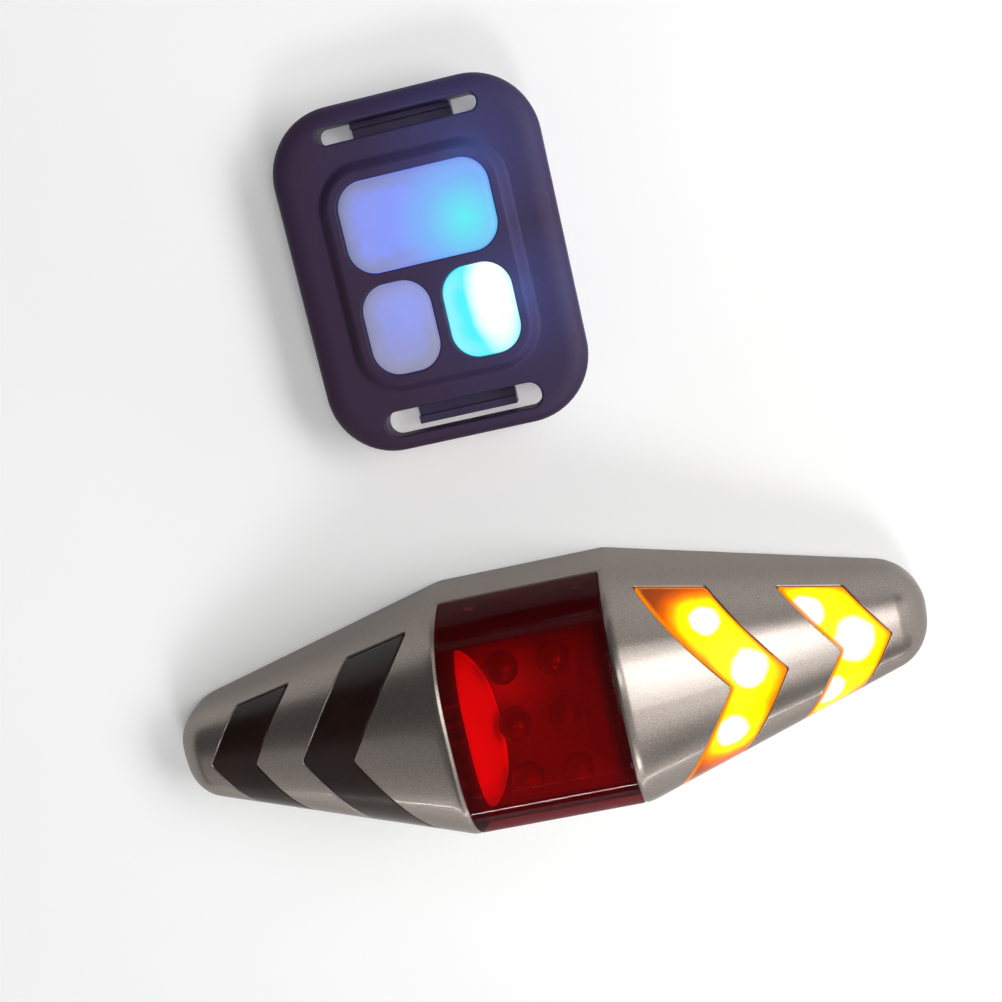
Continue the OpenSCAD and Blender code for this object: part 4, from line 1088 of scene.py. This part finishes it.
def reflector_painted_light_and_shade():
    """Dark grey painted shade for the reflector's floor and other sides, with a painted pool of light beside
    the upper end of its white wall.
    """
    paint = Paint("reflector_painted_light_and_shade")
    grain = paint.noise(900.0, detail=4.0)
    share = paint.falloff([(PAINTED_LIGHT_PLACE, 1.0)], PAINTED_LIGHT_REACH, paint.spread(grain, 0.9, 1.1))
    return paint.finish({
        "Base Color": paint.ramp(share, [(place, (grey, grey, grey)) for place, grey in PAINTED_SHADE_GREYS]),
        "Roughness": paint.spread(grain, 0.38, 0.52),
        "Normal": paint.bump(grain, strength=0.15, distance=GRAIN_DEPTH)})


# Places on the remote's casing where the lit keys' glow is painted, each with its size, and the colours away
# from them
HALO_SPOTS = [((SMALL_KEY_X + 5.2, -6.5), 1.0), ((9.0, 14.5), 1.2)]
HALO_REACH = 34.0
HALO_STOPS = [
    (0.0, (0.055, 0.085, 0.3)), (0.12, (0.046, 0.045, 0.16)), (0.35, (0.039, 0.026, 0.08)),
    (0.65, (0.036, 0.0185, 0.05)), (1.0, (0.036, 0.0165, 0.042))]


def remote_casing():
    """Matt purple-black plastic, a little bluer beside the lit keys where their glow is painted."""
    paint = Paint("remote_casing")
    fine = paint.noise(2400.0)
    spots = [(remote_point(*place, FLANGE_TOP), size) for place, size in HALO_SPOTS]
    # Painted glow of the lit keys: bluer towards the spots beside them
    share = paint.falloff(spots, HALO_REACH, paint.spread(fine, 0.9, 1.1))
    return paint.finish({
        "Base Color": paint.ramp(share, HALO_STOPS),
        "Roughness": paint.spread(fine, 0.5, 0.62),
        "Specular IOR Level": 0.28,
        "Normal": paint.bump(fine, strength=0.12, distance=0.00006)})


# Materials of the nodes that stay as they are: dark and light colours, roughness, other settings and nodes
METAL = {"grain": 1500.0, "relief": 0.08, "Metallic": 1.0}
FINE_METAL = {"grain": 1500.0, "relief": 0.06, "Metallic": 1.0}
BOARD = {"grain": 1200.0}
LAMP = {"grain": 700.0, "relief": 0.02}
NODE_PAINTS = {
    "back_plastic": (
        (0.012, 0.012, 0.014), (0.022, 0.022, 0.025), 0.5, {},
        ("back_cover", "battery_door", "power_button")),
    "seal_rubber": (
        (0.008, 0.008, 0.008), (0.016, 0.016, 0.016), 0.75, {},
        ("housing_seal", "door_seal", "coin_door_seal")),
    "screw_steel": (
        (0.42, 0.42, 0.43), (0.6, 0.6, 0.6), 0.3, METAL, ("housing_screws", "remote_screws", "coin_cell")),
    "insert_brass": ((0.6, 0.4, 0.14), (0.75, 0.52, 0.2), 0.32, METAL, ("mount_inserts",)),
    "contact_nickel": (
        (0.5, 0.48, 0.43), (0.66, 0.63, 0.57), 0.28, FINE_METAL, ("battery_contacts", "coin_clip")),
    "board_green": (
        (0.01, 0.11, 0.03), (0.02, 0.17, 0.05), 0.4, BOARD,
        ("main_board", "left_signal_board", "right_signal_board", "switch_board", "remote_board")),
    "board_blue": ((0.01, 0.03, 0.14), (0.02, 0.05, 0.2), 0.4, BOARD, ("receiver_board",)),
    "chip_black": (
        (0.01, 0.01, 0.011), (0.025, 0.025, 0.027), 0.55, {"grain": 1800.0},
        ("main_board_chips", "remote_chip")),
    "lead_red": ((0.42, 0.015, 0.012), (0.55, 0.03, 0.02), 0.45, {}, ("signal_leads",)),
    "antenna_copper": ((0.6, 0.27, 0.13), (0.75, 0.36, 0.2), 0.3, FINE_METAL, ("receiver_antenna",)),
    "switch_grey": ((0.12, 0.12, 0.13), (0.2, 0.2, 0.21), 0.45, {}, ("power_switch", "remote_switches")),
    "cell_sleeve": ((0.05, 0.1, 0.06), (0.08, 0.16, 0.09), 0.3, {}, ("aaa_cells",)),
    # Lighter than the front casing: painted light, so that the hooks lying in shade behind the strap slots
    # show the casing's colour
    "remote_back_lightened_plastic": (
        (0.04, 0.03, 0.085), (0.058, 0.044, 0.118), 0.55, {"grain": 1600.0}, ("remote_back", "coin_door")),
    "red_lamp": ((0.012, 0.0012, 0.002), (0.02, 0.002, 0.003), 0.12, LAMP, ("red_leds",)),
    "amber_lamp": (
        (0.45, 0.16, 0.03), (0.55, 0.22, 0.05), 0.12, LAMP, ("left_signal_leds", "right_signal_leds")),
    "remote_lamp": ((0.75, 0.78, 0.8), (0.85, 0.87, 0.9), 0.3, {}, ("remote_leds",)),
}


def paint_nodes():
    for name, (dark, light, rough, settings, nodes) in NODE_PAINTS.items():
        material = moulded(name, dark, light, rough, **settings)
        for node in nodes:
            materials = frame["nodes"][node].data.materials
            materials.clear()
            materials.append(material)


# Pieces

# Lamps behind the lit chevrons, whose glow is painted on the lenses, each a place and a size
INNER_SPOTS = [((28.0, 11.2, 23.2), 1.0), ((32.6, 2.1, 23.2), 1.12), ((28.4, -7.0, 24.5), 1.0)]
OUTER_SPOTS = [((43.4, 7.2, 17.4), 1.0), ((49.4, 1.0, 16.1), 1.3), ((44.3, -5.8, 17.5), 1.0)]

# Colours of the keys' painted glow, away from the lamp
BLUE_STOPS = [
    (0.0, (0.06, 0.82, 0.84)), (0.12, (0.1, 0.66, 0.84)), (0.3, (0.15, 0.42, 0.88)),
    (0.55, (0.2, 0.28, 0.9)), (0.8, (0.22, 0.27, 0.82)), (1.0, (0.22, 0.26, 0.6))]
WHITE_STOPS = [
    (0.0, (1.0, 1.0, 1.0)), (0.24, (1.0, 1.0, 1.0)), (0.34, (0.7, 0.99, 1.0)),
    (0.47, (0.04, 0.86, 0.92)), (0.8, (0.06, 0.8, 0.93)), (1.0, (0.3, 0.85, 0.98))]
LILAC_STOPS = [(0.0, (0.25, 0.3, 0.82)), (0.5, (0.25, 0.28, 0.7)), (1.0, (0.26, 0.27, 0.52))]
# Painted glow of each key: its lamp's place on the remote, its stretch, colours and reach, and the rim's
# colour
KEY_GLOWS = {
    "main_key": ((7.2, 6.0), (1.0, 1.0, 0.0), BLUE_STOPS, 20.0, (0.2, 0.21, 0.36)),
    "left_key": ((-5.0, -5.6), (1.0, 1.0, 0.0), LILAC_STOPS, 8.0, (0.24, 0.24, 0.36)),
    "right_key": ((8.6, -6.4), (1.0, 0.42, 0.0), WHITE_STOPS, 9.0, (0.3, 0.9, 1.0)),
}


def dress():
    """Makes each piece that replaces a node, and paints the nodes that stay."""
    loops = window_loops()
    bare = moulded("housing_inside", (0.02, 0.02, 0.02), (0.035, 0.034, 0.033), rough=0.6)
    front_housing(silver_paint(), bare)
    lens_piece("red_lens", loops["red_lens"], clear_red(), "red_lens", RED_LENS_SPACING)
    dark = smoked_amber()
    for name, spots in (("inner", INNER_SPOTS), ("outer", OUTER_SPOTS)):
        left, right = f"left_{name}_chevron", f"right_{name}_chevron"
        lit = amber_painted_glow(f"amber_painted_glow_{name}", spots)
        lens_piece(left, loops[left], dark, "amber_lens", CHEVRON_SPACING)
        lens_piece(right, loops[right], lit, "amber_lens_lit", CHEVRON_SPACING)
    white = moulded("reflector_white", (0.86, 0.86, 0.86), (0.93, 0.93, 0.93), rough=0.35)
    reflector_tub(white, reflector_painted_light_and_shade())
    remote_shell(remote_casing())
    for name, (width, centre) in KEY_SHAPES.items():
        soft_key(name, width, centre, key_painted_glow(f"{name}_glow", *KEY_GLOWS[name]))
    paint_nodes()


# Stage, light and camera, in metres; the camera's place, sensor and lens are in millimetres

SET_MIDDLE = Vector((0, 0.02, 0.01))
WORLD_STRENGTH = 0.08
# Each lamp's name, direction, distance, size and power, and its shape if it isn't a rectangle
LAMPS = (
    ("key", (0.17, -0.72, 0.67), 1.0, (0.28, 0.28), 2.4, "DISK"),
    ("fill", (0.21, 0.1, 0.97), 1.0, (0.3, 0.3), 1.8, "DISK"),
    ("side_box", (0.714, 0.13, 0.695), 0.8, (0.8, 0.3), 2.4),
    ("upper_box", (0.62, 0.77, 0.2), 0.9, (0.55, 0.4), 0.6),
    ("side_core", (0.717, -0.03, 0.695), 0.79, (0.5, 0.24), 2.0),
    ("right_box", (0.98, -0.06, 0.18), 0.9, (0.55, 0.25), 0.75),
    ("low_box", (-0.76, -0.532, 0.375), 0.9, (0.58, 0.42), 0.5),
    ("tube", (-0.04, -0.97, 0.2), 1.4, (2.7, 0.03), 9.0),
    ("under", (0.05, -0.05, -1.0), 1.0, (0.5, 0.5), 3.2),
)
FLOOR_HALF = 3.0
FLOOR_DROP = -0.0003
FLOOR_WHITE = 0.1
CAMERA_PLACE = (25.2, 72.4, 226.6)
CAMERA_AHEAD = (-0.112, -0.180, -0.977)
CAMERA_UP = (0.206, 0.958, -0.200)
CAMERA_SENSOR = 36.0
CAMERA_LENS = 50.3
CAMERA_NEAR = 0.01


def area_light(name, direction, distance, size, power, shape="RECTANGLE"):
    """Area lamp in a direction from the middle of the set, facing it."""
    lamp = bpy.data.lights.new(name, "AREA")
    lamp.shape = shape
    lamp.size, lamp.size_y = size
    lamp.energy = power
    holder = bpy.data.objects.new(name, lamp)
    way = Vector(direction).normalized()
    holder.location = SET_MIDDLE + way * distance
    holder.rotation_mode = "QUATERNION"
    holder.rotation_quaternion = way.to_track_quat("Z", "Y")
    bpy.context.scene.collection.objects.link(holder)


def pale_floor():
    """Pale matt floor, a little whiter where it is seen, and clear from below."""
    paint = Paint("pale_floor")
    shade = paint.mottle(paint.noise(14.0, detail=2.0), (0.93, 0.93, 0.93), (0.95, 0.95, 0.95))
    matt = paint.add("BsdfDiffuse", {"Color": shade}).outputs["BSDF"]
    path = paint.add("LightPath").outputs
    seen = paint.math("MAXIMUM", path["Is Camera Ray"], path["Is Glossy Ray"])
    seen = paint.math("MAXIMUM", seen, path["Is Transmission Ray"])
    strength = paint.math("MULTIPLY", seen, FLOOR_WHITE)
    white = paint.add("Emission", {"Strength": strength}).outputs["Emission"]
    front = paint.add("AddShader", {0: matt, 1: white}).outputs["Shader"]
    clear = paint.add("BsdfTransparent").outputs["BSDF"]
    back = paint.add("NewGeometry").outputs["Backfacing"]
    mix = paint.add("MixShader", {"Fac": back, 1: front, 2: clear}).outputs["Shader"]
    paint.tree.links.new(mix, paint.output.inputs["Surface"])
    return paint.material


def stage():
    """Floor without a shadow of its own, so that the lamp below lights the back."""
    corners = [(x * FLOOR_HALF, y * FLOOR_HALF, FLOOR_DROP) for x, y in ((-1, -1), (1, -1), (1, 1), (-1, 1))]
    mesh = bpy.data.meshes.new("floor")
    mesh.from_pydata(corners, [], [range(len(corners))])
    mesh.materials.append(pale_floor())
    floor = bpy.data.objects.new("floor", mesh)
    floor.visible_shadow = False
    bpy.context.scene.collection.objects.link(floor)


def lights():
    """White studio light: a faint world and area lamps, one below the floor."""
    world = bpy.data.worlds.new("studio")
    world.use_nodes = True
    background = world.node_tree.nodes["Background"]
    background.inputs["Color"].default_value = (1.0, 1.0, 1.0, 1.0)
    background.inputs["Strength"].default_value = WORLD_STRENGTH
    bpy.context.scene.world = world
    for lamp in LAMPS:
        area_light(*lamp)


def camera():
    ahead = Vector(CAMERA_AHEAD).normalized()
    right = ahead.cross(Vector(CAMERA_UP)).normalized()
    turned = Matrix((right, right.cross(ahead), -ahead)).transposed().to_4x4()
    data = bpy.data.cameras.new("camera")
    data.sensor_width = CAMERA_SENSOR
    data.lens = CAMERA_LENS
    data.clip_start = CAMERA_NEAR
    holder = bpy.data.objects.new("camera", data)
    holder.matrix_world = Matrix.Translation(Vector(CAMERA_PLACE) * MM) @ turned
    bpy.context.scene.collection.objects.link(holder)
    bpy.context.scene.camera = holder


bpy.context.scene.view_settings.view_transform = "Standard"
camera()
stage()
lights()
dress()
